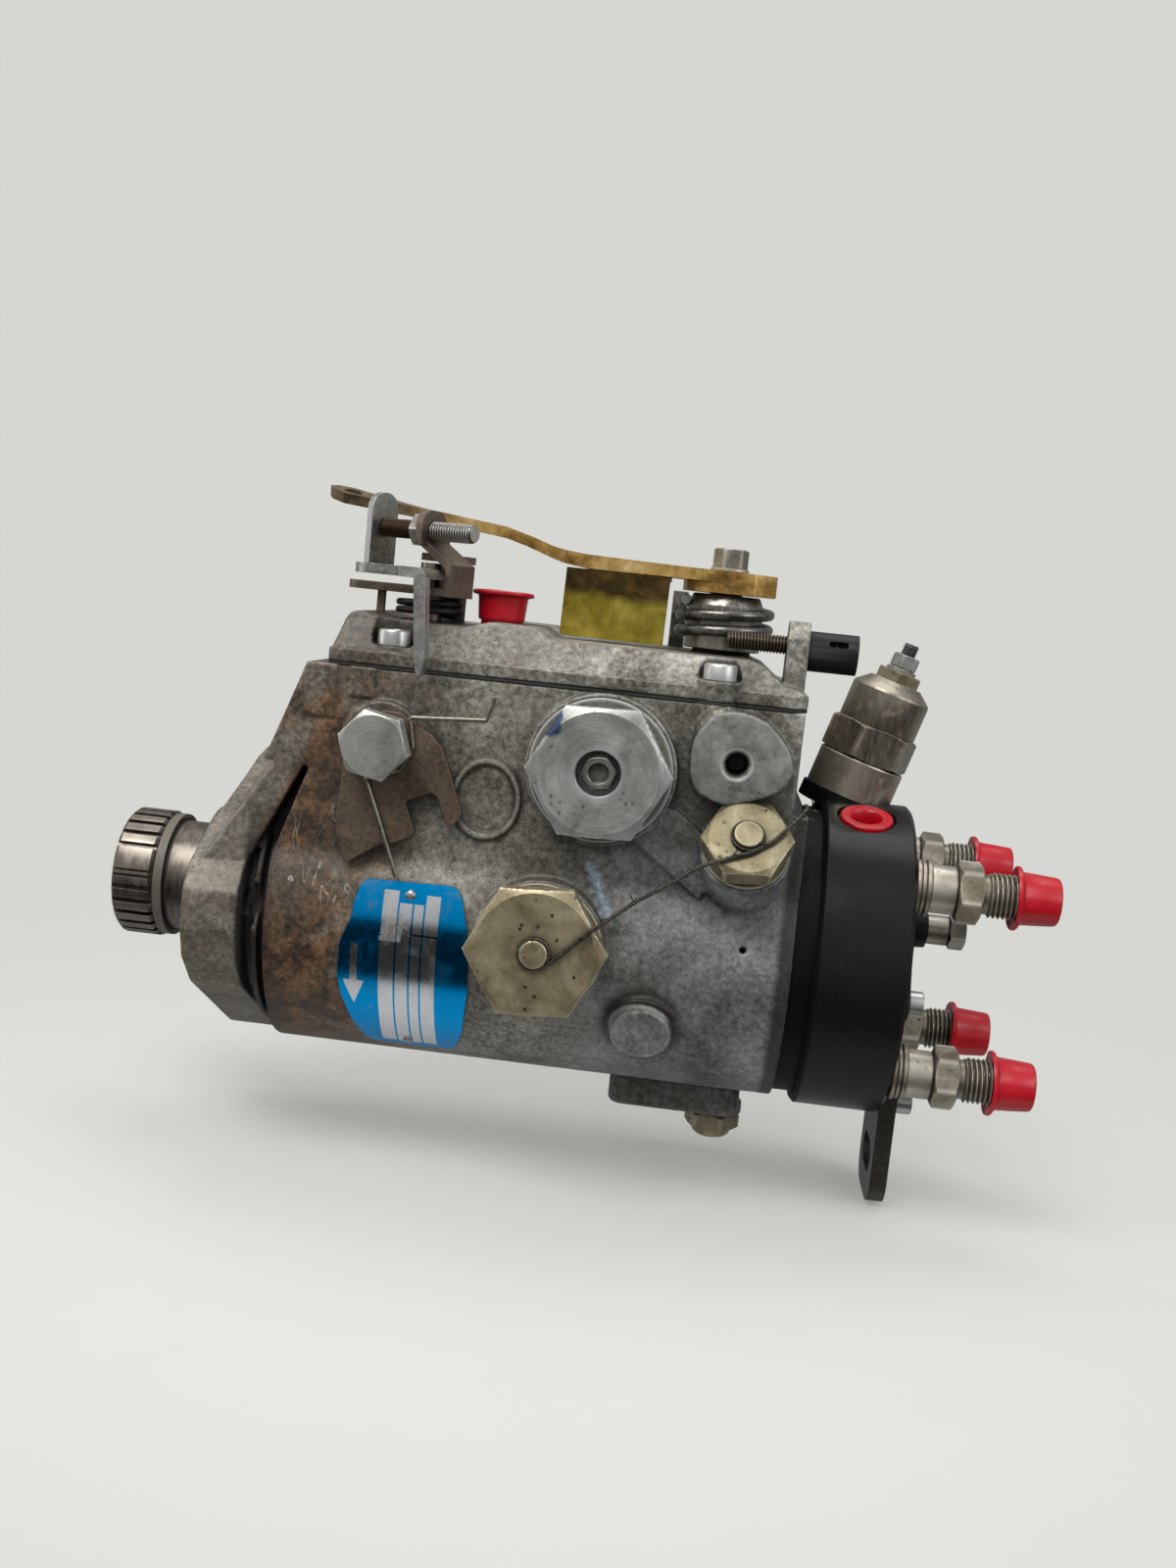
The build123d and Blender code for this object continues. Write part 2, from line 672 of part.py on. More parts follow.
outlet_unions.part.label = "outlet_unions"
export_step(outlet_unions.part, "parts/outlet_unions.step")

with BuildPart() as outlet_washers:
    for dx, y, z in OUT_3D:
        for x0, rr in ((222.05, 8.7), (223.6, 8.3), (225.1, 8.7)):
            with BuildSketch(across(x0 + dx)):
                with Locations((y, z)):
                    Circle(rr)
                    Circle(6.02, mode=Mode.SUBTRACT)
            extrude(amount=1.48)
outlet_washers.part.label = "outlet_washers"
export_step(outlet_washers.part, "parts/outlet_washers.step")

# push-on dust caps: a flange, a tapered body and a blind socket
CAP_X = 252.0
with BuildPart() as outlet_caps:
    for dx, y, z in OUT_3D:
        with BuildSketch(across(CAP_X + dx)):
            with Locations((y, z)):
                Circle(10.1)
        extrude(amount=2.0)
        with BuildSketch(across(CAP_X + dx + 2.0)):
            with Locations((y, z)):
                Circle(8.2)
        extrude(amount=11.8, taper=4)
        with BuildSketch(across(CAP_X + dx - 0.5)):
            with Locations((y, z)):
                Circle(7.03)
        extrude(amount=8.2, mode=Mode.SUBTRACT)
outlet_caps.part.label = "outlet_caps"
export_step(outlet_caps.part, "parts/outlet_caps.step")

# -------------------------------------------------- inlet_plug, return_cap
with BuildPart() as inlet_plug:
    with BuildSketch(radial(IN_X, IN_UP, 48.25)):
        Circle(8.4)
    extrude(amount=2.0)
    with BuildSketch(radial(IN_X, IN_UP, 40)):
        Circle(6.52)
    extrude(amount=8.6)
    with BuildSketch(radial(IN_X, IN_UP, 44)):
        Circle(4.4)
    extrude(amount=10, mode=Mode.SUBTRACT)
inlet_plug.part.label = "inlet_plug"
export_step(inlet_plug.part, "parts/inlet_plug.step")

with BuildPart() as return_cap:
    with BuildSketch(Plane((RETURN[0], RETURN[1], 104.6))):
        Circle(9.9)
    extrude(amount=1.6)
    with BuildSketch(Plane((RETURN[0], RETURN[1], 104.7))):
        Circle(8.0)
    extrude(amount=-8.3, taper=4)
    with BuildSketch(Plane((RETURN[0], RETURN[1], 88))):
        Circle(6.52)
    extrude(amount=9)
    with BuildSketch(Plane((RETURN[0], RETURN[1], 92))):
        Circle(5.4)
    extrude(amount=15, mode=Mode.SUBTRACT)
return_cap.part.label = "return_cap"
export_step(return_cap.part, "parts/return_cap.step")

# ---------------------------------------------------------------- solenoid
with BuildPart() as solenoid_body:
    with BuildSketch(sol(-12)):
        Circle(8.96)
    extrude(amount=12.5)
    with BuildSketch(sol(0.05)):
        Circle(14.2)
    extrude(amount=12.8)
    with BuildSketch(sol(12.8)):
        RegularPolygon(13.2, 6, major_radius=False, rotation=10)
    extrude(amount=12.0)
    with BuildSketch(sol(24.5)):
        Circle(13.0)
    extrude(amount=12.3)
    with BuildSketch(sol(36.8)):
        Circle(13.0)
    extrude(amount=3.6, taper=52)
    with BuildSketch(sol(-13)):
        Circle(4.06)
    extrude(amount=34, mode=Mode.SUBTRACT)
solenoid_body.part.label = "solenoid_body"
export_step(solenoid_body.part, "parts/solenoid_body.step")

with BuildPart() as solenoid_terminal:
    with BuildSketch(sol(40.45)):
        RegularPolygon(7.0, 6, major_radius=False, rotation=24)
    extrude(amount=3.6)
    with BuildSketch(sol(43.9)):
        Circle(5.0)
    extrude(amount=1.4)
    with BuildSketch(sol(45.2)):
        RegularPolygon(4.0, 6, major_radius=False, rotation=12)
    extrude(amount=4.6)
    with BuildSketch(sol(49.7)):
        Circle(2.6)
    extrude(amount=4.0)
solenoid_terminal.part.label = "solenoid_terminal"
export_step(solenoid_terminal.part, "parts/solenoid_terminal.step")

with BuildPart() as solenoid_plunger:
    with BuildSketch(sol(-12)):
        Circle(4.0)
    extrude(amount=28)
    with BuildSketch(sol(-13.6)):
        Circle(3.0)
    extrude(amount=2)
solenoid_plunger.part.label = "solenoid_plunger"
export_step(solenoid_plunger.part, "parts/solenoid_plunger.step")

# ----------------------------------------------- end plate and its fittings
VALVE = (-2.0, 11.4)
with BuildPart() as end_plate:
    with BuildSketch(across(HEAD_X1 + 0.02)) as ep_sk:
        Circle(16.5)
        for y, z in END_SCREWS:
            with Locations((y, z)):
                Circle(6.2)
        make_hull()
    extrude(amount=4.6)
    chamfer(end_plate.faces().sort_by(Axis.X)[-1].edges(), 0.8)
    # boss of the regulating valve
    with BuildSketch(across(HEAD_X1 + 4)):
        with Locations(VALVE):
            Circle(6.6)
    extrude(amount=5.4, taper=5)
    with BuildSketch(across(HEAD_X1)):
        with Locations(*END_SCREWS):
            Circle(2.6)
    extrude(amount=20, mode=Mode.SUBTRACT)
    with BuildSketch(across(HEAD_X1 - 1)):
        with Locations(VALVE):
            Circle(3.6)
    extrude(amount=14, mode=Mode.SUBTRACT)
end_plate.part.label = "end_plate"
export_step(end_plate.part, "parts/end_plate.step")

with BuildPart() as regulating_valve:
    with BuildSketch(across(223.0)):
        with Locations(VALVE):
            Circle(3.56)
    extrude(amount=9)
    with BuildSketch(across(231.45)):
        with Locations(VALVE):
            Circle(4.8)
    extrude(amount=7.2)
    with BuildSketch(across(238.6)):
        with Locations(VALVE):
            RegularPolygon(5.0, 6, major_radius=False, rotation=15)
    extrude(amount=5.4)
regulating_valve.part.label = "regulating_valve"
export_step(regulating_valve.part, "parts/regulating_valve.step")

with BuildPart() as head_end_screws:
    with BuildSketch(across(208)):
        with Locations(*END_SCREWS, *BRACKET_SCREWS):
            Circle(2.46)
    extrude(amount=20)
    with BuildSketch(across(HEAD_X1 + 4.7)):
        with Locations(*END_SCREWS):
            Circle(4.2)
    extrude(amount=4.6)
    with BuildSketch(across(HEAD_X1 + 5.9)):
        with Locations(*BRACKET_SCREWS):
            Circle(4.2)
    extrude(amount=5.0)
    with BuildSketch(across(HEAD_X1 + 7)):
        with Locations(*END_SCREWS):
            RegularPolygon(2.0, 6, major_radius=False)
    extrude(amount=4, mode=Mode.SUBTRACT)
    with BuildSketch(across(HEAD_X1 + 8.4)):
        with Locations(*BRACKET_SCREWS):
            RegularPolygon(2.0, 6, major_radius=False)
    extrude(amount=4, mode=Mode.SUBTRACT)
head_end_screws.part.label = "head_end_screws"
export_step(head_end_screws.part, "parts/head_end_screws.step")

SLOT_Y, SLOT_Z = 2.0, -66.5
SLOT_L, SLOT_H = 20.0, 10.6
with BuildPart() as support_bracket:
    with BuildSketch(across(HEAD_X1 + 0.3)) as br_sk:
        with BuildLine():
            Polyline((-15, -36.5), (-15, -80.0), (19, -80.0), (19, -36.5), close=True)
        make_face()
        fillet(br_sk.vertices().group_by(Axis.Y)[0], 9.0)
        fillet(br_sk.vertices().group_by(Axis.Y)[-1], 2.5)
        with Locations(*BRACKET_SCREWS):
            Circle(2.6, mode=Mode.SUBTRACT)
        with Locations((SLOT_Y, SLOT_Z)):
            SlotOverall(SLOT_L, SLOT_H, mode=Mode.SUBTRACT)
        with Locations(*OUTLETS):
            Circle(9.4, mode=Mode.SUBTRACT)
    extrude(amount=5.5)
support_bracket.part.label = "support_bracket"
export_step(support_bracket.part, "parts/support_bracket.step")

# --------------------------------------------------- transfer pump
with BuildPart() as transfer_pump_liner:
    with BuildSketch(across(PUMP_X + 0.1)):
        Circle(13.5)
        Circle(11.6, mode=Mode.SUBTRACT)
    extrude(amount=7.4)
transfer_pump_liner.part.label = "transfer_pump_liner"
export_step(transfer_pump_liner.part, "parts/transfer_pump_liner.step")

with BuildPart() as transfer_pump_rotor:
    with BuildSketch(across(PUMP_X + 0.5)):
        Circle(8.6)
        Rectangle(22.4, 2.2)
        Circle(3.05, mode=Mode.SUBTRACT)
    extrude(amount=6.6)
transfer_pump_rotor.part.label = "transfer_pump_rotor"
export_step(transfer_pump_rotor.part, "parts/transfer_pump_rotor.step")

# -------------------------------------------------- advance device
with BuildPart() as advance_housing:
    with BuildSketch(Plane.XY.offset(-57.4)):
        with Locations((156.2, 12)):
            RectangleRounded(43.2, 46.4, 5)
    extrude(amount=11.8)
    fillet(advance_housing.faces().sort_by(Axis.Z)[0].edges(), 2.0)
    # locating boss of the cap nut
    with BuildSketch(Plane.XY.offset(-59.2)):
        with Locations((169.8, 3)):
            Circle(9.4)
    extrude(amount=4)
    # piston bore
    with BuildSketch(Plane((155, -8.5, ADV_Z), x_dir=(1, 0, 0), z_dir=(0, 1, 0))):
        Circle(4.6)
    extrude(amount=40.5, mode=Mode.SUBTRACT)
    with BuildSketch(Plane.XY.offset(-51)):
        with Locations((155, ADV_Y + 3.0)):
            Rectangle(7.2, 21)
    extrude(amount=10, mode=Mode.SUBTRACT)
advance_housing.part.label = "advance_housing"
export_step(advance_housing.part, "parts/advance_housing.step")

with BuildPart() as advance_piston:
    with BuildSketch(Plane((155, -3.5, ADV_Z), x_dir=(1, 0, 0), z_dir=(0, 1, 0))):
        Circle(4.57)
    extrude(amount=24.0)
    with BuildSketch(Plane((155, 13.0, ADV_Z), x_dir=(1, 0, 0), z_dir=(0, 1, 0))):
        Circle(3.3)
    extrude(amount=12, mode=Mode.SUBTRACT)
    with BuildSketch(Plane.XY.offset(ADV_Z - 3.2)):
        with Locations((155, ADV_Y)):
            Rectangle(12, 6.0)
    extrude(amount=12, mode=Mode.SUBTRACT)
advance_piston.part.label = "advance_piston"
export_step(advance_piston.part, "parts/advance_piston.step")

with BuildPart() as advance_spring:
    with BuildLine():
        adv_helix = Helix(pitch=2.2, height=9.6, radius=2.35, center=(155, 21.2, ADV_Z), direction=(0, 1, 0))
    with BuildSketch(Plane(adv_helix @ 0, z_dir=adv_helix % 0)):
        Circle(0.45)
    sweep(is_frenet=True)
advance_spring.part.label = "advance_spring"
export_step(advance_spring.part, "parts/advance_spring.step")

with BuildPart() as locating_fitting:
    with BuildSketch(Plane((169.8, 3, -59.25))):
        RegularPolygon(8.0, 6, major_radius=False, rotation=10)
    extrude(amount=-5.2)
    with BuildSketch(Plane((169.8, 3, -64.4))):
        Circle(7.2)
    extrude(amount=-3.2, taper=30)
locating_fitting.part.label = "locating_fitting"
export_step(locating_fitting.part, "parts/locating_fitting.step")

# ------------------------------------------------------------- cam ring
PIN_A = atan2(ADV_Y, -ADV_Z)      # the cam pin stands this far past straight down
PIN_R = hypot(ADV_Y, ADV_Z)
pin_dir = (0, sin(PIN_A), -cos(PIN_A))
with BuildPart() as cam_ring:
    with BuildSketch(across(146)):
        Circle(BORE_R - 0.05)
        Circle(29.5, mode=Mode.SUBTRACT)
    extrude(amount=18)
    # four lobes
    with BuildSketch(across(146)):
        with PolarLocations(31.0, 4, start_angle=45):
            Circle(3.6)
    extrude(amount=18)
    with BuildSketch(Plane((155, pin_dir[1] * 39, pin_dir[2] * 39), x_dir=(1, 0, 0), z_dir=pin_dir)):
        Circle(1.7)
    extrude(amount=PIN_R - 39)
    with Locations((155, ADV_Y, ADV_Z)):
        Sphere(2.85)
cam_ring.part.label = "cam_ring"
export_step(cam_ring.part, "parts/cam_ring.step")

# ------------------------------------------------------------- drive shaft
with BuildPart() as drive_shaft:
    with BuildSketch(across(DRUM_X0)):
        Circle(DRUM_R)
    extrude(amount=DRUM_X1 - DRUM_X0)
    chamfer(drive_shaft.edges().filter_by(GeomType.CIRCLE), 1.3)
    # straight grooves; one place is left out for the master tooth, and the groove beside it is split by a thin rib
    with BuildSketch(across(DRUM_X0 - 1)):
        for k in range(SPLINES):
            a0 = MASTER_A + k * 360 / SPLINES
            if k == 0:
                continue
            for a, w in ([(a0 - 2.4, 0.9), (a0 + 2.4, 0.9)] if k == 1 else [(a0, 1.7)]):
                with Locations(Location((DRUM_R * cos(radians(a)), DRUM_R * sin(radians(a))), a)):
                    Rectangle(2.8, w)
    extrude(amount=15.0, mode=Mode.SUBTRACT)
    with BuildSketch(across(DRUM_X0)):
        Circle(13.0)
    extrude(amount=5.0, mode=Mode.SUBTRACT)
    with BuildSketch(across(DRUM_X0 + 4)):
        RegularPolygon(8.0, 6, major_radius=False)
    extrude(amount=8)
    with BuildSketch(across(DRUM_X1)):
        Circle(DRUM_R - 0.7)
    extrude(amount=2.9)
    with BuildSketch(across(DRUM_X1)):
        Circle(COLLAR_R)
    extrude(amount=22.7)
    with BuildSketch(across(0)):
        Circle(JOURNAL_R)
    extrude(amount=108)
    with BuildSketch(across(108)):
        Rectangle(16, 6)
    extrude(amount=8)
drive_shaft.part.label = "drive_shaft"
export_step(drive_shaft.part, "parts/drive_shaft.step")

# ---------------------------------------------------------------- governor
with BuildPart() as governor_cage:
    with BuildSketch(across(54)):
        Circle(33)
        Circle(JOURNAL_R + 0.02, mode=Mode.SUBTRACT)
    extrude(amount=3)
    with BuildSketch(across(54)):
        Circle(33)
        Circle(30.5, mode=Mode.SUBTRACT)
    extrude(amount=25)
    with BuildSketch(across(54)):
        Circle(14)
        Circle(JOURNAL_R + 0.02, mode=Mode.SUBTRACT)
    extrude(amount=8)
    with BuildSketch(across(57.2)):
        with PolarLocations(22.3, 4, start_angle=45):
            Rectangle(26, 2.4)
    extrude(amount=18)
    with BuildSketch(across(50)):
        Circle(10.02)
    extrude(amount=40, mode=Mode.SUBTRACT)
    with BuildSketch(across(62.5)):
        Circle(16)
    extrude(amount=20, mode=Mode.SUBTRACT)
governor_cage.part.label = "governor_cage"
export_step(governor_cage.part, "parts/governor_cage.step")

with BuildPart() as governor_weights:
    with BuildSketch(across(64)):
        with PolarLocations(24.0, 4, start_angle=0):
            RectangleRounded(11, 14, 2)
    extrude(amount=15)
    with BuildSketch(across(77)):
        with PolarLocations(18.0, 4, start_angle=0):
            Rectangle(9, 8)
    extrude(amount=3)
governor_weights.part.label = "governor_weights"
export_step(governor_weights.part, "parts/governor_weights.step")

with BuildPart() as thrust_sleeve:
    with BuildSketch(across(81)):
        Circle(18)
        Circle(JOURNAL_R + 0.05, mode=Mode.SUBTRACT)
    extrude(amount=2.5)
    with BuildSketch(across(81)):
        Circle(13)
        Circle(JOURNAL_R + 0.05, mode=Mode.SUBTRACT)
    extrude(amount=10)
thrust_sleeve.part.label = "thrust_sleeve"
export_step(thrust_sleeve.part, "parts/thrust_sleeve.step")

ARM_PIVOT = (101.0, 66.0)      # X and Z
with BuildPart() as governor_arm:
    with BuildSketch(across(97.6)) as arm_sk:
        with BuildLine():
            Polyline((-17, 72), (17, 72), (17, 30), (21, 22), (21, -4), (14, -4), (14, 16), (-14, 16),
                     (-14, -4), (-21, -4), (-21, 22), (-17, 30), close=True)
        make_face()
    extrude(amount=2.4)
    # thrust pads on the fork
    with BuildSketch(across(91.4)):
        with Locations((-16.8, 0), (16.8, 0)):
            Circle(2.0)
    extrude(amount=6.4)
    # pivot pin, held by the lugs of the cover
    with BuildSketch(front(27)):
        with Locations(ARM_PIVOT):
            Circle(2.5)
    extrude(amount=54)
governor_arm.part.label = "governor_arm"
export_step(governor_arm.part, "parts/governor_arm.step")

with BuildPart() as governor_spring:
    with BuildLine():
        gov_helix = Helix(pitch=2.6, height=44.2, radius=4.2, center=(103.2, 0, 52), direction=(1, 0, 0))
    with BuildSketch(Plane(gov_helix @ 0, z_dir=gov_helix % 0)):
        Circle(0.6)
    sweep(is_frenet=True)
governor_spring.part.label = "governor_spring"
export_step(governor_spring.part, "parts/governor_spring.step")

with BuildPart() as metering_valve:
    with BuildSketch(Plane.XY.offset(12)):
        with Locations(METER):
            Circle(4.0)
    extrude(amount=32)
    with BuildSketch(Plane.XY.offset(43.8)):
        with Locations(METER, (METER[0], METER[1] + 12)):
            Circle(4.5)
        with Locations((METER[0], METER[1] + 6)):
            Rectangle(7, 12)
    extrude(amount=2.5)
    with BuildSketch(Plane.XY.offset(46.2)):
        with Locations((METER[0], METER[1] + 12)):
            Circle(1.6)
    extrude(amount=6)
metering_valve.part.label = "metering_valve"
export_step(metering_valve.part, "parts/metering_valve.step")

# ------------------------------------------------------------------- rotor
with BuildPart() as distributor_rotor:
    with BuildSketch(across(116.5)):
        Circle(12)
    extrude(amount=30)
    with BuildSketch(across(146)):
        Circle(20)
    extrude(amount=18)
    with BuildSketch(across(160)):
        Circle(9.0)
    extrude(amount=PUMP_X - 160)
    with BuildSketch(across(PUMP_X - 1)):
        Circle(3.0)
    extrude(amount=8.0)
    # drive slot at the front end and the cross bores of the plungers
    with BuildSketch(across(116)):
        Rectangle(16.2, 6.2)
    extrude(amount=1, mode=Mode.SUBTRACT)
    with BuildSketch(Plane((155, -21, 0), x_dir=(1, 0, 0), z_dir=(0, 1, 0))):
        Circle(4.02)
    extrude(amount=42, mode=Mode.SUBTRACT)
    with BuildSketch(across(147)):
        with Locations((-16.5, 0), (16.5, 0)):
            Rectangle(9, 14.1)
    extrude(amount=16, mode=Mode.SUBTRACT)
distributor_rotor.part.label = "distributor_rotor"
export_step(distributor_rotor.part, "parts/distributor_rotor.step")

with BuildPart() as pumping_plungers:
    with BuildSketch(Plane((155, 1.0, 0), x_dir=(1, 0, 0), z_dir=(0, 1, 0))):
        Circle(4.0)
    extrude(amount=12.0)
    with BuildSketch(Plane((155, -1.0, 0), x_dir=(1, 0, 0), z_dir=(0, -1, 0))):
        Circle(4.0)
    extrude(amount=12.0)
pumping_plungers.part.label = "pumping_plungers"
export_step(pumping_plungers.part, "parts/pumping_plungers.step")

with BuildPart() as rollers_and_shoes:
    with BuildSketch(across(147.5)):
        with Locations((16.6, 0), (-16.6, 0)):
            Rectangle(6.6, 13.8)
        with Locations((21.2, 0), (-21.2, 0)):
            Circle(5.1, mode=Mode.SUBTRACT)
    extrude(amount=15)
    with BuildSketch(across(147.6)):
        with Locations((21.2, 0), (-21.2, 0)):
            Circle(5.0)
    extrude(amount=14.8)
rollers_and_shoes.part.label = "rollers_and_shoes"
export_step(rollers_and_shoes.part, "parts/rollers_and_shoes.step")

# ----------------------------------------------------------- throttle lever
with BuildPart() as throttle_shaft:
    with BuildSketch(Plane.XY.offset(76)):
        with Locations(THR):
            Circle(5.0)
    extrude(amount=36.2)
    with BuildSketch(Plane.XY.offset(72.5)):
        with Locations(THR):
            Circle(7.5)
    extrude(amount=4)
    # pin that pulls the governor spring
    with BuildSketch(Plane.XY.offset(47)):
        with Locations((THR[0] - 4.8, THR[1])):
            Circle(1.8)
    extrude(amount=26)
    with BuildSketch(Plane.XY.offset(112)):
        with Locations(THR):
            Rectangle(7.0, 5.0)
            Circle(3.5, mode=Mode.INTERSECT)
    extrude(amount=6.0)
throttle_shaft.part.label = "throttle_shaft"
export_step(throttle_shaft.part, "parts/throttle_shaft.step")

LEVER_T = 3.4
with BuildPart() as throttle_lever:
    with BuildSketch(Plane.XZ):
        with BuildLine():
            Polyline((174, 119.1), (140, 119.5), (110, 120.3), (103, 121.0), (97, 122.2), (90, 124.6), (82, 126.8), (57, 129.9), (44, 132.2),
                     (10, 138.4), (10, 135.0), (44, 128.8), (57, 126.5), (81, 123.4), (89.2, 121.2), (96.2, 118.8),
                     (102, 117.0), (110, 115.9), (140, 115.75), (174, 115.75), close=True)
        make_face()
    extrude(amount=60, both=True)
    with BuildSketch(Plane.XY.offset(100)) as lev_sk:
        with BuildLine():
            Polyline((171.0, -4), (164, -10.5), (150, -11.5), (128, -9.5), (104, -7.5), (82, 2.0), (44, 11.5), (24, 15.0),
                     (19.5, 17.5), (17.5, 22), (19.5, 26.5), (24, 29.0), (46, 26.5), (84, 18.5), (106, 12.5), (128, 11.5),
                     (150, 15.0), (164, 13), (171, 8), close=True)
        make_face()
        fillet(lev_sk.vertices(), 2.2)
    extrude(amount=60, mode=Mode.INTERSECT)
    with BuildSketch(Plane.XY.offset(100)):
        with Locations(THR):
            Circle(3.6)
        with Locations((25.5, 22.0)):
            Circle(3.1)
    extrude(amount=60, mode=Mode.SUBTRACT)
throttle_lever.part.label = "throttle_lever"
export_step(throttle_lever.part, "parts/throttle_lever.step")

with BuildPart() as throttle_stop_plate:
    with BuildSketch(Plane.XY.offset(112.3)) as tsp_sk:
        with BuildLine():
            Polyline((171.0, -4), (164, -10.5), (150, -11.5), (142.5, -6), (141.0, 4), (144, 14), (149, 26), (154, 27),
                     (157, 15), (164, 13), (171, 8), close=True)
        make_face()
        fillet(tsp_sk.vertices(), 1.8)
        with Locations(THR):
            Circle(3.6, mode=Mode.SUBTRACT)
    extrude(amount=3.4)
    # down-turned stop lug behind the spring
    with BuildSketch(Plane.XY.offset(103.5)):
        with Locations((151.4, 23.6)):
            Rectangle(3.2, 5)
    extrude(amount=9.6)
throttle_stop_plate.part.label = "throttle_stop_plate"
export_step(throttle_stop_plate.part, "parts/throttle_stop_plate.step")

with BuildPart() as throttle_lever_screw:
    with BuildSketch(Plane.XY.offset(119.45)):
        with Locations(THR):
            Circle(6.2)
    extrude(amount=1.1)
    with BuildSketch(Plane.XY.offset(120.5)):
        with Locations(THR):
            RegularPolygon(5.0, 6, major_radius=False, rotation=8)
    extrude(amount=6.2)
    with BuildSketch(Plane.XY.offset(118.3)):
        with Locations(THR):
            Circle(3.0)
    extrude(amount=2)
throttle_lever_screw.part.label = "throttle_lever_screw"
export_step(throttle_lever_screw.part, "parts/throttle_lever_screw.step")

with BuildPart() as lever_tab:
    with BuildSketch(front(-8.2)):
        with BuildLine():
            Polyline((104.0, 115.7), (137.2, 115.7), (136.8, 93.9), (103.6, 94.2), close=True)
        make_face()
    extrude(amount=1.5)
    with BuildSketch(Plane.XY.offset(114.2)):
        with Locations((120.6, -2.7)):
            Rectangle(33.2, 13.0)
    extrude(amount=1.5)
lever_tab.part.label = "lever_tab"
export_step(lever_tab.part, "parts/lever_tab.step")

with BuildPart() as throttle_spring:
    with BuildLine():
        thr_helix = Helix(pitch=4.9, height=12.6, radius=14.3, center=(THR[0], THR[1], 97.0))
    with BuildSketch(Plane(thr_helix @ 0, z_dir=thr_helix % 0)):
        Circle(1.75)
    sweep(is_frenet=True)
throttle_spring.part.label = "throttle_spring"
export_step(throttle_spring.part, "parts/throttle_spring.step")

with BuildPart() as spring_cup:
    with BuildSketch(Plane.XY.offset(94.25)):
        with Locations(THR):
            Circle(12.3)
    extrude(amount=14.15)
    with BuildSketch(Plane.XY.offset(108.4)):
        with Locations(THR):
            Circle(12.3)
    extrude(amount=3.5, taper=24)
    with BuildSketch(Plane.XY.offset(94)):
        with Locations(THR):
            Circle(5.05)
    extrude(amount=20, mode=Mode.SUBTRACT)
spring_cup.part.label = "spring_cup"
export_step(spring_cup.part, "parts/spring_cup.step")

# ------------------------------------------------- speed stop screw, sleeve
with BuildPart() as speed_stop_screw:
    with BuildSketch(across(157.0)):
        with Locations((-21, 98.4)):
            Circle(2.95)
    extrude(amount=34)
    with BuildSketch(across(182.15)):
        with Locations((-21, 98.4)):
            RegularPolygon(4.4, 6, major_radius=False)
    extrude(amount=3.4)
speed_stop_screw.part.label = "speed_stop_screw"
export_step(speed_stop_screw.part, "parts/speed_stop_screw.step")

with BuildPart() as screw_sleeve:
    with BuildSketch(across(182.2)):
        with Locations((-21, 97.3)):
            Circle(6.2)
    extrude(amount=15.0)
    with BuildSketch(across(181)):
        with Locations((-21, 98.4)):
            Circle(5.09)
    extrude(amount=18, mode=Mode.SUBTRACT)
    with BuildSketch(front(-20)):
        with Locations((191.0, 100.2)):
            SlotOverall(6.0, 1.8)
    extrude(amount=10, mode=Mode.SUBTRACT)
screw_sleeve.part.label = "screw_sleeve"
export_step(screw_sleeve.part, "parts/screw_sleeve.step")

# --------------------------------------------------------------- stop lever
US = (cos(radians(STP_TURN)), sin(radians(STP_TURN)))
VS = (-US[1], US[0])


def stp(u, v, z=0.0):
    """A point in the turned frame of the stop lever."""
    return (STP[0] + US[0] * u + VS[0] * v, STP[1] + US[1] * u + VS[1] * v, z)


def stp_plane(u, v, z):
    """Sketch plane facing along the stop screw: local x is across it, local y is Z."""
    return Plane(stp(u, v, z), x_dir=(VS[0], VS[1], 0), z_dir=(US[0], US[1], 0))


with BuildPart() as stop_shaft:
    with BuildSketch(Plane.XY.offset(80.5)):
        with Locations(STP):
            Circle(4.0)
    extrude(amount=32.0)
    with BuildSketch(Plane.XY.offset(77)):
        with Locations(STP):
            Circle(6.0)
    extrude(amount=3.6)
stop_shaft.part.label = "stop_shaft"
export_step(stop_shaft.part, "parts/stop_shaft.step")

with BuildPart() as stop_lever:
    # flat arm clamped on the shaft
    with BuildSketch(Plane.XY.offset(107.4)) as sl_sk:
        with Locations(STP):
            Circle(8.0)
        with Locations(stp(-17.5, -5.5)[:2]):
            Circle(7.6)
        make_hull()
    extrude(amount=3.2)
    with BuildSketch(Plane.XY.offset(107.4)):
        with BuildLine():
            Polyline((56.5, -15), (67.6, -15), (67.6, -55.6), (59.5, -55.6), (58.0, -38), close=True)
        make_face()
    extrude(amount=3.2)
    # leg bent down in front of the cover
    with BuildSketch(front(-49.0)):
        with BuildLine():
            Polyline((63.6, 110.6), (67.6, 110.6), (67.6, 110.0), (69.6, 84), (68.6, 79.2), (67.4, 79.0), (66.2, 84), (64.2, 107.4),
                     close=True)
        make_face()
    extrude(amount=6.6)
    # rounded bend
    with BuildSketch(front(-14)):
        with Locations((66.65, 109.65)):
            Rectangle(3.9, 3.9)
        with Locations((64.7, 107.7)):
            Circle(2.9, mode=Mode.SUBTRACT)
    extrude(amount=43, mode=Mode.SUBTRACT)
    # upright that the stop screw bears on
    with BuildSketch(stp_plane(-19.0, -5.6, 110.4)) as up_sk:
        with BuildLine():
            Polyline((-6.2, 0), (-6.2, 22.8), (6.2, 22.8), (6.2, 0), close=True)
        make_face()
        fillet(up_sk.vertices().group_by(Axis.Y)[-1], 5.6)
    extrude(amount=2.2)
    with BuildSketch(Plane.XY.offset(100)):
        with Locations(STP):
            Circle(4.02)
    extrude(amount=20, mode=Mode.SUBTRACT)
stop_lever.part.label = "stop_lever"
export_step(stop_lever.part, "parts/stop_lever.step")

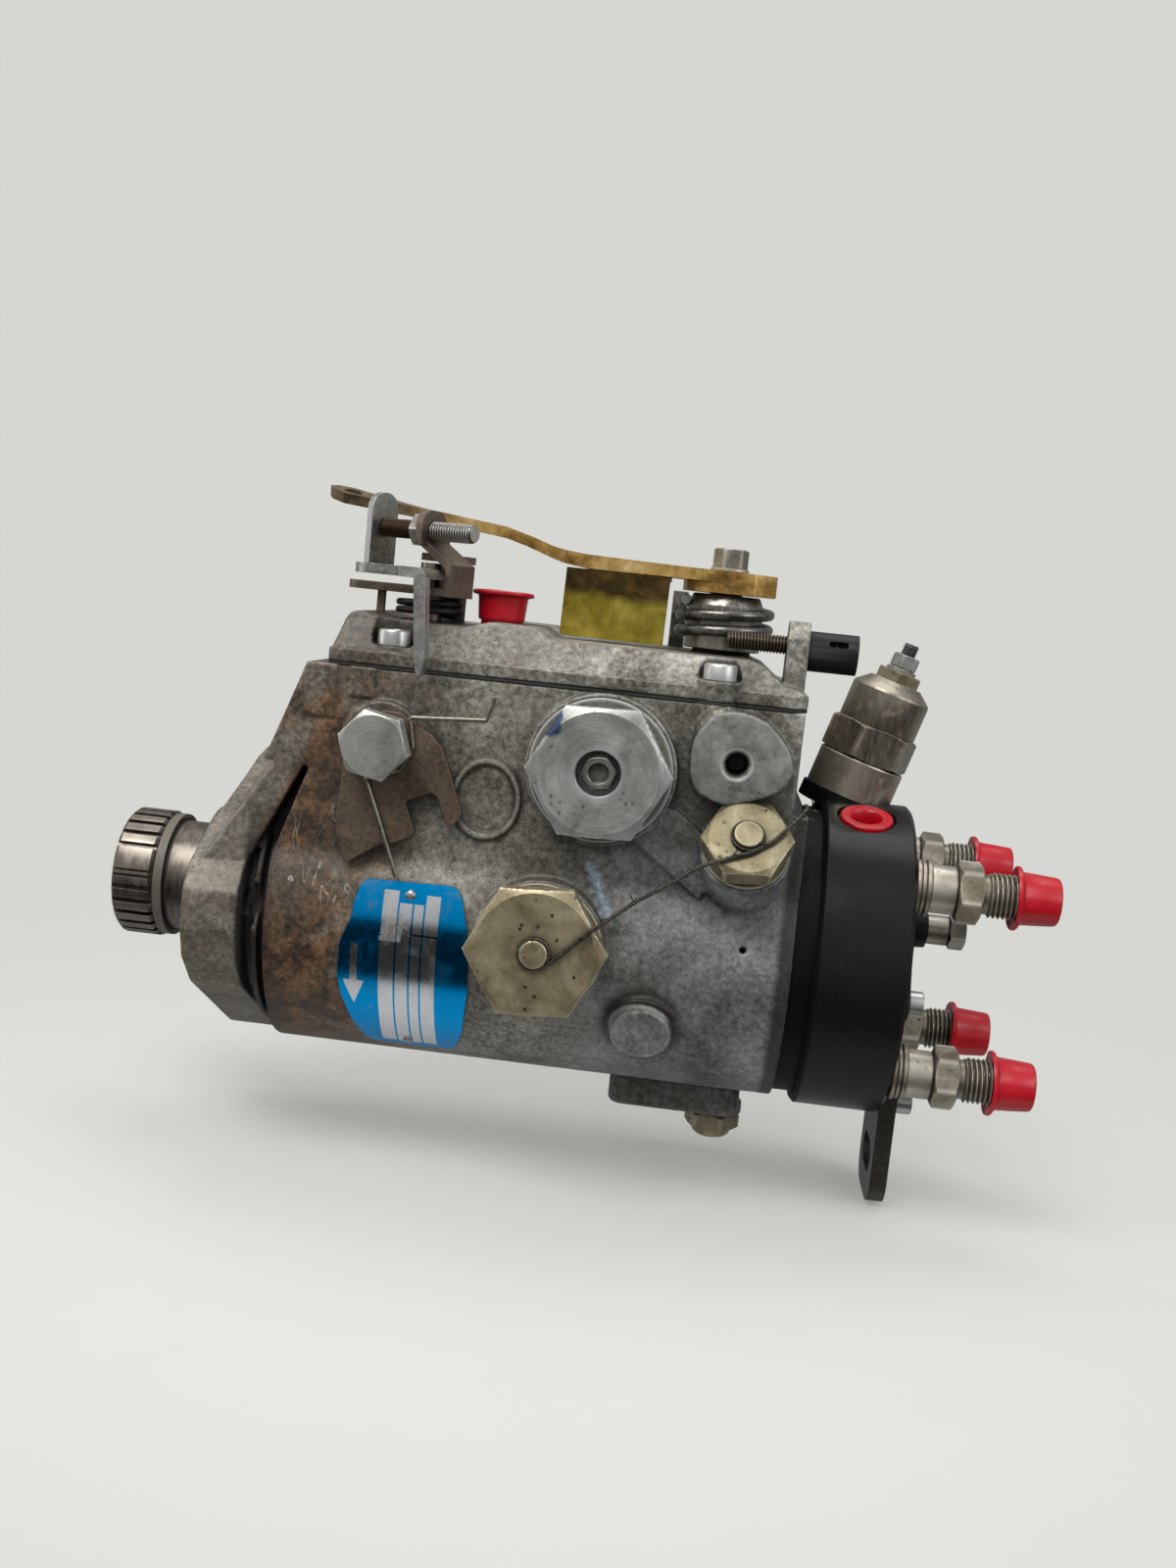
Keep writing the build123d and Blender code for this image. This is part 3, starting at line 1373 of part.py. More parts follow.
with BuildPart() as stop_bracket:
    # lower arm under the lever
    with BuildSketch(Plane.XY.offset(102.4)) as sb_sk:
        with Locations(STP):
            Circle(9.4)
        with Locations((41.5, -18.0)):
            Circle(5.0)
        make_hull()
    extrude(amount=2.6)
    with BuildSketch(Plane(stp(0, -3.0, 102.4), x_dir=(US[0], US[1], 0), z_dir=(0, 0, 1))):
        with Locations((7, 0)):
            Rectangle(14, 12)
    extrude(amount=2.6)
    # leg from the lower arm up past the lever, leaning back over the shaft to the upright for the screw
    with BuildSketch(Plane(stp(0, 3.0, 0), x_dir=(US[0], US[1], 0), z_dir=(US[1], -US[0], 0))):
        with BuildLine():
            Polyline((1.0, 117.6), (11.8, 111.0), (11.8, 102.4), (14.2, 102.4), (14.2, 112.35), (3.4, 118.95), (3.4, 120.0), (1.0, 120.0),
                     close=True)
        make_face()
    extrude(amount=12)
    # foot on the cover behind the spring, and the step that joins it
    with BuildSketch(Plane(stp(-1.0, 12.9, 94.2), x_dir=(US[0], US[1], 0), z_dir=(0, 0, 1))):
        Rectangle(9, 2.4)
    extrude(amount=21.4)
    with BuildSketch(Plane(stp(0.25, 7.2, 113.2), x_dir=(US[0], US[1], 0), z_dir=(0, 0, 1))):
        Rectangle(11.5, 13.8)
    extrude(amount=2.4)
    with BuildSketch(stp_plane(1.0, -5.5, 113.2)) as up2_sk:
        with BuildLine():
            Polyline((-6.0, 4.6), (-6.2, 7), (-6.2, 15.4), (6.2, 15.4), (6.2, 10), (7.4, 6), (7.6, 4.6), close=True)
        make_face()
        fillet(up2_sk.vertices().group_by(Axis.Y)[-1], 4.8)
    extrude(amount=2.4)
    with BuildSketch(Plane.XY.offset(100)):
        with Locations(STP):
            Circle(4.6)
    extrude(amount=10, mode=Mode.SUBTRACT)
    with BuildSketch(stp_plane(-2, -5.5, 122.3)):
        Circle(3.0)
    extrude(amount=8, mode=Mode.SUBTRACT)
    # post of the spring's leg
    with BuildSketch(Plane.XY.offset(95.65)):
        with Locations((47.5, -20)):
            Circle(1.4)
    extrude(amount=7.2)
stop_bracket.part.label = "stop_bracket"
export_step(stop_bracket.part, "parts/stop_bracket.step")

with BuildPart() as anti_stall_screw:
    with BuildSketch(stp_plane(-16.5, -5.5, 122.3)):
        Circle(2.95)
    extrude(amount=36.0)
    with BuildSketch(stp_plane(-2.9, -5.5, 122.3)):
        RegularPolygon(4.8, 6, major_radius=False)
    extrude(amount=3.85)
anti_stall_screw.part.label = "anti_stall_screw"
export_step(anti_stall_screw.part, "parts/anti_stall_screw.step")

with BuildPart() as stop_spring:
    with BuildLine():
        stp_helix = Helix(pitch=2.35, height=5.4, radius=9.8, center=(STP[0], STP[1], 95.9))
    with BuildSketch(Plane(stp_helix @ 0, z_dir=stp_helix % 0)):
        Circle(1.05)
    sweep(is_frenet=True)
stop_spring.part.label = "stop_spring"
export_step(stop_spring.part, "parts/stop_spring.step")

# --------------------------------------- locking screw, keeper plate, clip
with BuildPart() as locking_screw:
    with BuildSketch(front(-36)):
        with Locations(LOCK):
            Circle(5.0)
    extrude(amount=15)
    with BuildSketch(front(-50.55)):
        with Locations(LOCK):
            Circle(9.4)
    extrude(amount=0.8)
    with BuildSketch(front(-51.2)):
        with Locations(LOCK):
            RegularPolygon(9.5, 6, major_radius=False, rotation=48)
    extrude(amount=7.0)
    with BuildSketch(front(-36)):
        with Locations(LOCK):
            Circle(10.7)
    extrude(amount=22.2, mode=Mode.INTERSECT)
locking_screw.part.label = "locking_screw"
export_step(locking_screw.part, "parts/locking_screw.step")

KEEP = [(66.8, 64.1), (72.3, 61.3), (75.4, 58.1), (77.8, 53.3), (83.6, 38.9), (82.9, 36.4), (80.0, 34.3), (78.6, 35.9),
        (75.6, 43.1), (73.9, 44.0), (67.0, 41.0), (66.2, 40.0), (69.6, 31.7), (69.0, 30.0), (63.4, 27.4), (59.5, 26.5),
        (50.0, 20.2), (48.5, 20.9), (45.5, 29.7), (45.4, 36.9), (46.1, 47.4), (47.2, 58), (51.0, 64.5), (57.5, 67.3),
        (62.5, 67.0)]
with BuildPart() as keeper_plate:
    with BuildSketch(front(-46.4)):
        with BuildLine():
            Polyline(*KEEP, close=True)
        make_face()
        with Locations(LOCK):
            Circle(5.6, mode=Mode.SUBTRACT)
    extrude(amount=1.9)
keeper_plate.part.label = "keeper_plate"
export_step(keeper_plate.part, "parts/keeper_plate.step")

CLIP_D = 1.5
with BuildPart() as keeper_clip:
    with BuildLine(Plane((0, -49.42, 0), x_dir=(1, 0, 0), z_dir=(0, -1, 0))) as clip_ln:
        FilletPolyline((90.4, 74.6), (88.6, 67.6), (65.6, 66.0), (67.2, 57.0), (64.2, 50.2), (58.2, 48.0), (53.6, 46.4),
                       (57.2, 38.0), (65.6, 17.4), radius=1.0)
    clip_w = clip_ln.wires()[0]
    with BuildSketch(Plane(clip_w @ 0, z_dir=clip_w % 0)):
        Circle(CLIP_D / 2)
    sweep()
print("keeper clip radius", CLIP_D / 2, "volume ratio",
      round(keeper_clip.part.volume / (clip_w.length * pi * CLIP_D ** 2 / 4), 4))
keeper_clip.part.label = "keeper_clip"
export_step(keeper_clip.part, "parts/keeper_clip.step")
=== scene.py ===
import bpy
import bmesh
import json
import math
from mathutils import Vector, Matrix, noise


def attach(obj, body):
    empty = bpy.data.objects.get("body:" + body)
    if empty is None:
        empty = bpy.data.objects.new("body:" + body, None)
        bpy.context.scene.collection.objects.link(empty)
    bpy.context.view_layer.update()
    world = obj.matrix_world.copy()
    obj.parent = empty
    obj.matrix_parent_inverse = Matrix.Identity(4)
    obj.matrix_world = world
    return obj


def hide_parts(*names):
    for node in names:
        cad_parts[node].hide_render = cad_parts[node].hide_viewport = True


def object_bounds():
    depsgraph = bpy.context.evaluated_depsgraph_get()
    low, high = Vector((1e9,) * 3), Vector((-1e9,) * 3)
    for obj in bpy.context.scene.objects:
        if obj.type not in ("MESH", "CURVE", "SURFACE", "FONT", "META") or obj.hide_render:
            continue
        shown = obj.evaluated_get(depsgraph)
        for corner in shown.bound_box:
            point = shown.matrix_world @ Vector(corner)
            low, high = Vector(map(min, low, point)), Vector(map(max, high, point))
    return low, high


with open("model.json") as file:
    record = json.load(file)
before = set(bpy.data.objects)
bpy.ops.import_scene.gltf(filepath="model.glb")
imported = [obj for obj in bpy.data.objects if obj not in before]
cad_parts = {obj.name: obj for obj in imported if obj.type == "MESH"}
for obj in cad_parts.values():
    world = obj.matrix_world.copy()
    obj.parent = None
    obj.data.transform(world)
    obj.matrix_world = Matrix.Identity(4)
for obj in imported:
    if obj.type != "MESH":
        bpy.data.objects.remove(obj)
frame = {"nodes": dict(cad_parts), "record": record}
BOX0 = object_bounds()
NODES = frame["nodes"]
MM = 0.001
PI = math.pi


# ------------------------------------------------------------------ meshes
def unit(v):
    return Vector(v).normalized()


def basis(axis, ref=None):
    """Columns: the direction of angle 0, the direction of angle 90, the axis."""
    z = unit(axis)
    r = Vector(ref) if ref is not None else (Vector((0, 0, 1)) if abs(z.z) < 0.9 else Vector((1, 0, 0)))
    x = (r - z * r.dot(z)).normalized()
    return x, z.cross(x), z


def hex_r(theta, af):
    a = theta % (PI / 3)
    return (af / 2) / math.cos(a - PI / 6)


def turned(profile, origin, axis, ref=None, n=96):
    """A turned piece: rings (h, r) or (h, r, across flats); r is capped by the hexagon. Millimetres."""
    x, y, z = basis(axis, ref)
    o = Vector(origin)
    vs, fs = [], []
    rings = []
    for p in profile:
        h, r = p[0], p[1]
        af = p[2] if len(p) > 2 else None
        if r <= 1e-6:
            rings.append([len(vs)])
            vs.append((o + z * h) * MM)
            continue
        ids = []
        for k in range(n):
            t = 2 * PI * k / n
            rr = min(r, hex_r(t, af)) if af else r
            ids.append(len(vs))
            vs.append((o + z * h + x * (rr * math.cos(t)) + y * (rr * math.sin(t))) * MM)
        rings.append(ids)
    for a, b in zip(rings, rings[1:]):
        if len(a) == 1 and len(b) == 1:
            continue
        if len(a) == 1:
            for k in range(n):
                fs.append((a[0], b[k], b[(k + 1) % n]))
        elif len(b) == 1:
            for k in range(n):
                fs.append((a[k], b[0], a[(k + 1) % n]))
        else:
            for k in range(n):
                fs.append((a[k], b[k], b[(k + 1) % n], a[(k + 1) % n]))
    if len(rings[0]) > 1:
        fs.append(tuple(rings[0]))
    if len(rings[-1]) > 1:
        fs.append(tuple(reversed(rings[-1])))
    return vs, fs


def thread(origin, axis, length, r, pitch, depth, ref=None, n=60, per=8, ends=(0.8, 0.8)):
    """A real helical thread as a closed skin."""
    x, y, z = basis(axis, ref)
    o = Vector(origin)
    m = max(4, int(length / pitch * per))
    prof = []
    for i in range(m + 1):
        prof.append(length * i / m)
    vs, fs, rings = [], [], []
    for h in prof:
        e = min(1.0, h / ends[0] if ends[0] else 1.0, (length - h) / ends[1] if ends[1] else 1.0)
        ids = []
        for k in range(n):
            t = 2 * PI * k / n
            f = (h / pitch - t / (2 * PI)) % 1.0
            w = abs(2 * f - 1)
            w = min(1.0, max(0.0, (w - 0.12) / 0.72))
            rr = r - depth * (1 - w)
            rr = min(rr, r - depth * 1.1 * (1 - e))
            ids.append(len(vs))
            vs.append((o + z * h + x * (rr * math.cos(t)) + y * (rr * math.sin(t))) * MM)
        rings.append(ids)
    for a, b in zip(rings, rings[1:]):
        for k in range(n):
            fs.append((a[k], b[k], b[(k + 1) % n], a[(k + 1) % n]))
    fs.append(tuple(rings[0]))
    fs.append(tuple(reversed(rings[-1])))
    return vs, fs


def tube(points, r, n=10, twist=0.0):
    """A round tube along points, millimetres."""
    pts = [Vector(p) for p in points]
    vs, fs, rings = [], [], []
    up = None
    for i, p in enumerate(pts):
        d = (pts[min(i + 1, len(pts) - 1)] - pts[max(i - 1, 0)]).normalized()
        if up is None:
            up = basis(d)[0]
        u = (up - d * up.dot(d)).normalized()
        up = u
        v = d.cross(u)
        ids = []
        for k in range(n):
            t = 2 * PI * k / n
            ids.append(len(vs))
            vs.append((p + u * (r * math.cos(t)) + v * (r * math.sin(t))) * MM)
        rings.append(ids)
    for a, b in zip(rings, rings[1:]):
        for k in range(n):
            fs.append((a[k], a[(k + 1) % n], b[(k + 1) % n], b[k]))
    fs.append(tuple(reversed(rings[0])))
    fs.append(tuple(rings[-1]))
    return vs, fs


def slab(outline, plane_o, ux, uy, n, t):
    """An outline extruded by t along n. outline in (u, v) millimetres."""
    o, ux, uy, n = Vector(plane_o), Vector(ux), Vector(uy), Vector(n)
    vs = [(o + ux * a + uy * b) * MM for a, b in outline]
    vs += [(o + ux * a + uy * b + n * t) * MM for a, b in outline]
    k = len(outline)
    fs = [tuple(range(k)), tuple(range(2 * k - 1, k - 1, -1))]
    for i in range(k):
        j = (i + 1) % k
        fs.append((i, j, k + j, k + i))
    return vs, fs


def make(name, parts, mat, body=None, angle=32, rep=(), fixn=True):
    me = bpy.data.meshes.new(name)
    vs, fs = [], []
    for v, f in parts:
        o = len(vs)
        vs += [tuple(p) for p in v]
        fs += [tuple(i + o for i in q) for q in f]
    me.from_pydata(vs, [], fs)
    me.update()
    if fixn:
        bm = bmesh.new()
        bm.from_mesh(me)
        bmesh.ops.recalc_face_normals(bm, faces=bm.faces)
        bm.to_mesh(me)
        bm.free()
    me.polygons.foreach_set("use_smooth", [True] * len(me.polygons))
    me.set_sharp_from_angle(angle=math.radians(angle))
    ob = bpy.data.objects.new(name, me)
    bpy.context.scene.collection.objects.link(ob)
    if mat is not None:
        me.materials.append(mat)
    if body:
        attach(ob, body)
    if rep:
        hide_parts(*rep)
    return ob


def grab(node):
    """The CAD node's mesh as (verts, faces), merged."""
    me = NODES[node].data
    bm = bmesh.new()
    bm.from_mesh(me)
    bmesh.ops.remove_doubles(bm, verts=bm.verts, dist=2e-6)
    bm.verts.index_update()
    vs = [v.co.copy() for v in bm.verts]
    fs = [tuple(v.index for v in f.verts) for f in bm.faces]
    bm.free()
    return vs, fs


def refined(node, mat, bevel=0.2, segs=2, angle=32, dissolve=0.6, name=None):
    """The CAD node with its facets cleaned and its edges broken, standing for the node."""
    me0 = NODES[node].data
    bm = bmesh.new()
    bm.from_mesh(me0)
    bmesh.ops.remove_doubles(bm, verts=bm.verts, dist=2e-6)
    bmesh.ops.dissolve_limit(bm, angle_limit=math.radians(dissolve), verts=bm.verts, edges=bm.edges)
    me = bpy.data.meshes.new(name or ("v_" + node))
    bm.to_mesh(me)
    bm.free()
    me.polygons.foreach_set("use_smooth", [True] * len(me.polygons))
    me.set_sharp_from_angle(angle=math.radians(angle))
    ob = bpy.data.objects.new(name or ("v_" + node), me)
    bpy.context.scene.collection.objects.link(ob)
    me.materials.clear()
    me.materials.append(mat)
    if bevel:
        b = ob.modifiers.new("edge", 'BEVEL')
        b.width = bevel * MM
        b.segments = segs
        b.limit_method = 'ANGLE'
        b.angle_limit = math.radians(angle)
        b.miter_outer = 'MITER_ARC'
        b.harden_normals = True
        b.use_clamp_overlap = True
    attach(ob, BODY[node])
    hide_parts(node)
    return ob


def cast_piece(name, node, extras, mat, voxel=0.7, smooth=6, rough=0.06):
    """The CAD node and its cast details melted into one skin with soft edges and a rough surface."""
    parts = [grab(node)] + extras
    ob = make(name, parts, mat)
    bpy.context.view_layer.objects.active = ob
    m = ob.modifiers.new("melt", 'REMESH')
    m.mode = 'VOXEL'
    m.voxel_size = voxel * MM
    m.use_smooth_shade = True
    s = ob.modifiers.new("soften", 'SMOOTH')
    s.factor = 0.5
    s.iterations = smooth
    dg = bpy.context.evaluated_depsgraph_get()
    me = bpy.data.meshes.new_from_object(ob.evaluated_get(dg))
    ob.modifiers.clear()
    old = ob.data
    ob.data = me
    bpy.data.meshes.remove(old)
    me.materials.clear()
    me.materials.append(mat)
    n = len(me.vertices)
    co = [0.0] * (3 * n)
    no = [0.0] * (3 * n)
    me.vertices.foreach_get("co", co)
    me.vertices.foreach_get("normal", no)
    for i in range(n):
        p = Vector(co[3 * i:3 * i + 3]) * 1000
        d = noise.noise(p * 0.55) * 0.55 + noise.noise(p * 0.21) * 0.9 + noise.noise(p * 1.1) * 0.35
        d *= rough * MM
        co[3 * i] += no[3 * i] * d
        co[3 * i + 1] += no[3 * i + 1] * d
        co[3 * i + 2] += no[3 * i + 2] * d
    me.vertices.foreach_set("co", co)
    me.polygons.foreach_set("use_smooth", [True] * len(me.polygons))
    me.update()
    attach(ob, BODY[node])
    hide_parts(node)
    return ob


REC = frame["record"]
BODY = {n: b for b, ns in REC["behaviour"]["bodies"].items() for n in ns}
SLOT = {s["node"]: s["material_slot"] for s in REC["subparts"]}


# --------------------------------------------------------------- materials
class Mat:
    def __init__(self, name, rough=0.5, metal=0.0):
        self.m = bpy.data.materials.new(name)
        self.m.use_nodes = True
        self.t = self.m.node_tree
        self.b = self.t.nodes["Principled BSDF"]
        self.b.inputs["Metallic"].default_value = metal
        self.b.inputs["Roughness"].default_value = rough
        c = self.t.nodes.new("ShaderNodeTexCoord")
        self.P = c.outputs["Object"]
        self.sep = None

    def node(self, kind, ins=None, out=0, **props):
        n = self.t.nodes.new(kind)
        for k, v in props.items():
            setattr(n, k, v)
        for k, v in (ins or {}).items():
            s = n.inputs[k]
            if isinstance(v, bpy.types.NodeSocket):
                self.t.links.new(v, s)
            else:
                s.default_value = v
        return n.outputs[out]

    def noise(self, scale, detail=6, rough=0.55, distort=0.0, vec=None):
        return self.node("ShaderNodeTexNoise", {"Vector": vec or self.P, "Scale": scale, "Detail": detail,
                                                "Roughness": rough, "Distortion": distort})

    def voro(self, scale, vec=None, feature='F1', rnd=1.0):
        return self.node("ShaderNodeTexVoronoi", {"Vector": vec or self.P, "Scale": scale, "Randomness": rnd}, feature=feature)

    def ramp(self, fac, stops, mode='LINEAR'):
        n = self.t.nodes.new("ShaderNodeValToRGB")
        n.color_ramp.interpolation = mode
        e = n.color_ramp.elements
        while len(e) < len(stops):
            e.new(0.5)
        for i, (p, c) in enumerate(stops):
            e[i].position = p
            e[i].color = (c, c, c, 1) if isinstance(c, (int, float)) else (*c, 1)
        self.t.links.new(fac, n.inputs[0])
        return n.outputs[0]

    def math(self, op, a, b=None, clamp=False):
        ins = {0: a}
        if b is not None:
            ins[1] = b
        return self.node("ShaderNodeMath", ins, operation=op, use_clamp=clamp)

    def span(self, v, lo, hi, a=0.0, b=1.0):
        return self.node("ShaderNodeMapRange", {0: v, 1: lo, 2: hi, 3: a, 4: b}, clamp=True)

    def mix(self, fac, a, b, kind='MIX'):
        n = self.t.nodes.new("ShaderNodeMix")
        n.data_type = 'RGBA'
        n.blend_type = kind
        for s, v in ((n.inputs[0], fac), (n.inputs[6], a), (n.inputs[7], b)):
            if isinstance(v, bpy.types.NodeSocket):
                self.t.links.new(v, s)
            elif isinstance(v, (int, float)):
                s.default_value = v
            else:
                s.default_value = (*v, 1)
        return n.outputs[2]

    def xyz(self):
        if self.sep is None:
            n = self.t.nodes.new("ShaderNodeSeparateXYZ")
            self.t.links.new(self.P, n.inputs[0])
            self.sep = n.outputs
        return self.sep

    def dist(self, p):
        """Distance in metres from a point given in millimetres."""
        n = self.t.nodes.new("ShaderNodeVectorMath")
        n.operation = 'DISTANCE'
        self.t.links.new(self.P, n.inputs[0])
        n.inputs[1].default_value = tuple(c * MM for c in p)
        return n.outputs["Value"]

    def stretch(self, sx, sy, sz):
        return self.node("ShaderNodeVectorMath", {0: self.P, 1: (sx, sy, sz)}, operation='MULTIPLY')

    def ao(self, d, samples=6):
        return self.node("ShaderNodeAmbientOcclusion", {"Distance": d * MM}, out=1, samples=samples)

    def point(self):
        return self.node("ShaderNodeNewGeometry", out=7)

    def color(self, s):
        self.t.links.new(s, self.b.inputs["Base Color"])

    def rough(self, s):
        self.t.links.new(s, self.b.inputs["Roughness"])

    def metal(self, s):
        self.t.links.new(s, self.b.inputs["Metallic"])

    def bump(self, *layers):
        """layers of (height socket, strength, distance in mm)."""
        prev = None
        for h, st, d in layers:
            n = self.t.nodes.new("ShaderNodeBump")
            n.inputs["Strength"].default_value = st
            n.inputs["Distance"].default_value = d * MM
            self.t.links.new(h, n.inputs["Height"])
            if prev is not None:
                self.t.links.new(prev, n.inputs["Normal"])
            prev = n.outputs[0]
        self.t.links.new(prev, self.b.inputs["Normal"])


BLANK_UP = math.radians(-25.3)
BLANK_N = (0.0, -math.cos(BLANK_UP), math.sin(BLANK_UP))
BLANK_P = (143.6, 51.0 * BLANK_N[1], 51.0 * BLANK_N[2])


def mat_cast(name, stain=1.0, oily=0.0):
    """Sand-cast aluminium: sandy grey, brown-stained towards the drive end, with painted shade in its corners."""
    g = Mat(name, 0.55, 0.35)
    x, y, z = g.xyz()[0], g.xyz()[1], g.xyz()[2]
    big = g.noise(34, 6, 0.62, 0.5)
    mid = g.noise(130, 7, 0.68, 0.3)
    fine = g.noise(560, 5, 0.75)
    grain = g.noise(1500, 4, 0.8)
    tone = g.math('ADD', g.math('MULTIPLY', big, 0.34), g.math('ADD', g.math('MULTIPLY', mid, 0.20), g.math('MULTIPLY', fine, 0.46)))
    col = g.ramp(tone, [(0.39, (0.034, 0.031, 0.024)), (0.455, (0.120, 0.113, 0.095)), (0.515, (0.220, 0.210, 0.185)), (0.60, (0.41, 0.40, 0.365))])
    # colder, smoother and cleaner towards the head
    cold = g.math('MULTIPLY', g.span(g.math('ADD', x, g.math('MULTIPLY', g.math('SUBTRACT', big, 0.5), 0.05)), 0.110, 0.150),
                  g.span(z, 0.060, 0.030))
    blue = g.ramp(g.math('ADD', g.math('MULTIPLY', big, 0.55), g.math('MULTIPLY', fine, 0.45)),
                  [(0.38, (0.060, 0.065, 0.070)), (0.49, (0.152, 0.164, 0.178)), (0.60, (0.285, 0.303, 0.325))])
    col = g.mix(g.math('MULTIPLY', cold, 0.85), col, blue)
    # warm dusty tone towards the left
    warm = g.math('MULTIPLY', g.span(x, 0.100, 0.050), g.span(mid, 0.30, 0.66, 0.25, 0.8))
    col = g.mix(g.math('MULTIPLY', warm, 0.55), col, g.ramp(fine, [(0.36, (0.085, 0.070, 0.052)), (0.62, (0.27, 0.235, 0.19))]))
    # dull grey rim of the flange
    lim = g.math('SUBTRACT', x, g.math('MULTIPLY', g.math('MAXIMUM', g.math('SUBTRACT', z, 0.021), 0.0), 0.44))
    arm = g.math('MULTIPLY', g.span(lim, 0.0205, 0.0175), g.span(g.math('ADD', z, g.math('MULTIPLY', g.math('SUBTRACT', mid, 0.5), 0.02)), 0.066, 0.056))
    rim = g.math('MULTIPLY', arm, g.span(mid, 0.25, 0.55, 0.62, 1.0))
    col = g.mix(g.math('MULTIPLY', rim, 0.72), col, g.ramp(g.math('ADD', g.math('MULTIPLY', fine, 0.6), g.math('MULTIPLY', big, 0.4)),
                [(0.38, (0.085, 0.078, 0.064)), (0.50, (0.175, 0.164, 0.142)), (0.62, (0.29, 0.275, 0.245))]))
    # brown oil stain: left third, and streaks running down from the cover joint
    left = g.math('MULTIPLY', g.span(x, 0.078, 0.026), g.span(z, 0.080, 0.060, 0.55, 1.0))
    n1 = g.noise(40, 8, 0.66, 1.1)
    st = g.span(g.math('ADD', g.math('MULTIPLY', left, 0.50), n1), 0.60, 0.84)
    run = g.noise(1.0, 5, 0.6, 0.3, g.stretch(95, 30, 13))
    run = g.math('MULTIPLY', g.span(run, 0.50, 0.66), g.math('MULTIPLY', g.span(x, 0.086, 0.062), g.span(z, 0.030, 0.070)))
    st = g.math('MAXIMUM', st, g.math('MULTIPLY', run, 0.9))
    st = g.math('MULTIPLY', g.math('MULTIPLY', st, stain), g.math('SUBTRACT', 1.0, g.math('MULTIPLY', arm, 0.80)))
    rust = g.ramp(g.math('ADD', g.math('MULTIPLY', mid, 0.6), g.math('MULTIPLY', fine, 0.4)),
                  [(0.38, (0.010, 0.006, 0.003)), (0.47, (0.042, 0.021, 0.009)), (0.54, (0.112, 0.052, 0.019)), (0.64, (0.20, 0.118, 0.058))])
    col = g.mix(g.math('MULTIPLY', st, 0.95), col, rust)
    # thin brown haze
    hz = g.span(g.noise(19, 6, 0.62, 0.6), 0.46, 0.72, 0.0, 0.36)
    col = g.mix(g.math('MULTIPLY', hz, g.span(x, 0.185, 0.120, 0.35, 1.0)), col, (0.105, 0.080, 0.056))
    # dark patches round the bosses: partly oil that has run and dried, partly painted shade along the valley beside the
    # web
    oil_and_valley_shade = None
    for p, r0, r1, k in (((151, -43, 46), 3.0, 9.5, 1.0), ((157, -43, 41), 2.0, 7.5, 1.0), ((145, -43, 50), 1.0, 7.0, 0.9), ((149, -43, 40), 2.0, 9.0, 0.7),
                         ((161, -42, 30), 3.0, 12.0, 0.75), ((154, -44, 24), 2.0, 10.0, 0.55), ((161, -46, 20), 2.0, 9.0, 0.7), ((184, -30, 50), 4.0, 13.0, 0.9), ((181, -42, 38), 2.0, 8.0, 0.7), ((127, -46, 33), 2.0, 9.0, 0.7),
                         ((106, -46, 25), 5.0, 20.0, 0.75), ((90, -46, 45), 2.0, 12.0, 0.45), ((47, -46, 26), 3.0, 15.0, 0.8),
                         ((142, -45, -10), 4.0, 15.0, 0.75), ((124, -42, -28), 3.0, 16.0, 0.65), ((128, -46, 8), 4.0, 15.0, 0.5),
                         ((60, -46, 72), 3.0, 14.0, 0.6), ((30, -46, 10), 5.0, 22.0, 0.7), ((172, -45, 14), 1.0, 8.0, 0.6),
                         ((150, -30, 76), 3.0, 14.0, 0.5), ((178, -46, 66), 2.0, 10.0, 0.6), ((52, -38, 90), 8.0, 26.0, 1.0), ((66, -30, 97), 8.0, 26.0, 0.95), ((62, -40, 78), 3.0, 15.0, 0.7),
                         ((95, -36, 88), 3.0, 18.0, 0.6), ((112, -38, 96), 2.0, 14.0, 0.5), ((155, -6, 98), 10.0, 30.0, 0.8), ((160, -41, 88), 5.0, 11.0, 0.9), ((140, -40, 80), 2.0, 12.0, 0.5), ((170, -36, 84), 3.0, 15.0, 0.6), ((152, -45, -38), 4.0, 22.0, 0.55)):
        m = g.math('MULTIPLY', g.span(g.math('ADD', g.dist(p), g.math('MULTIPLY', g.math('SUBTRACT', n1, 0.5), 0.022)), r1 * MM, r0 * MM), k)
        oil_and_valley_shade = m if oil_and_valley_shade is None else g.math('MAXIMUM', oil_and_valley_shade, m)
    oil_and_valley_shade = g.math('MULTIPLY', oil_and_valley_shade, g.span(mid, 0.30, 0.58, 0.62, 1.0))
    col = g.mix(g.math('MULTIPLY', oil_and_valley_shade, 0.90), col, g.ramp(fine, [(0.38, (0.016, 0.013, 0.010)), (0.62, (0.080, 0.066, 0.050))]))
    if oily:
        ol = g.span(g.noise(55, 6, 0.62, 0.6), 0.40, 0.58, oily * 0.55, oily)
        col = g.mix(ol, col, g.ramp(fine, [(0.38, (0.018, 0.014, 0.010)), (0.62, (0.085, 0.066, 0.045))]))
        oil_and_valley_shade = g.math('MAXIMUM', oil_and_valley_shade, ol)
    # painted shade: corners darkened by ambient occlusion, wide and narrow; further down the same mask also counts as
    # grime for metal and roughness
    occ = g.ao(9.0, 5)
    crevice_shade_and_grime = g.math('MULTIPLY', g.span(occ, 0.90, 0.42), g.span(mid, 0.25, 0.6, 0.70, 1.0))
    occ2 = g.ao(1.8, 5)
    edge = g.span(occ2, 0.93, 0.60)
    crevice_shade_and_grime = g.math('MAXIMUM', crevice_shade_and_grime, g.math('MULTIPLY', edge, 0.9))
    col = g.mix(g.math('MULTIPLY', crevice_shade_and_grime, 0.90), col, (0.014, 0.011, 0.008))
    # painted shade: a dark band in the recess beside the flange, low on the body
    flange_recess_shade = g.math('MULTIPLY', g.span(x, 0.0165, 0.018), g.span(x, 0.029, 0.0245))
    flange_recess_shade = g.math('MULTIPLY', flange_recess_shade, g.span(z, 0.042, 0.02))
    col = g.mix(g.math('MULTIPLY', flange_recess_shade, 0.82), col, (0.016, 0.013, 0.011))
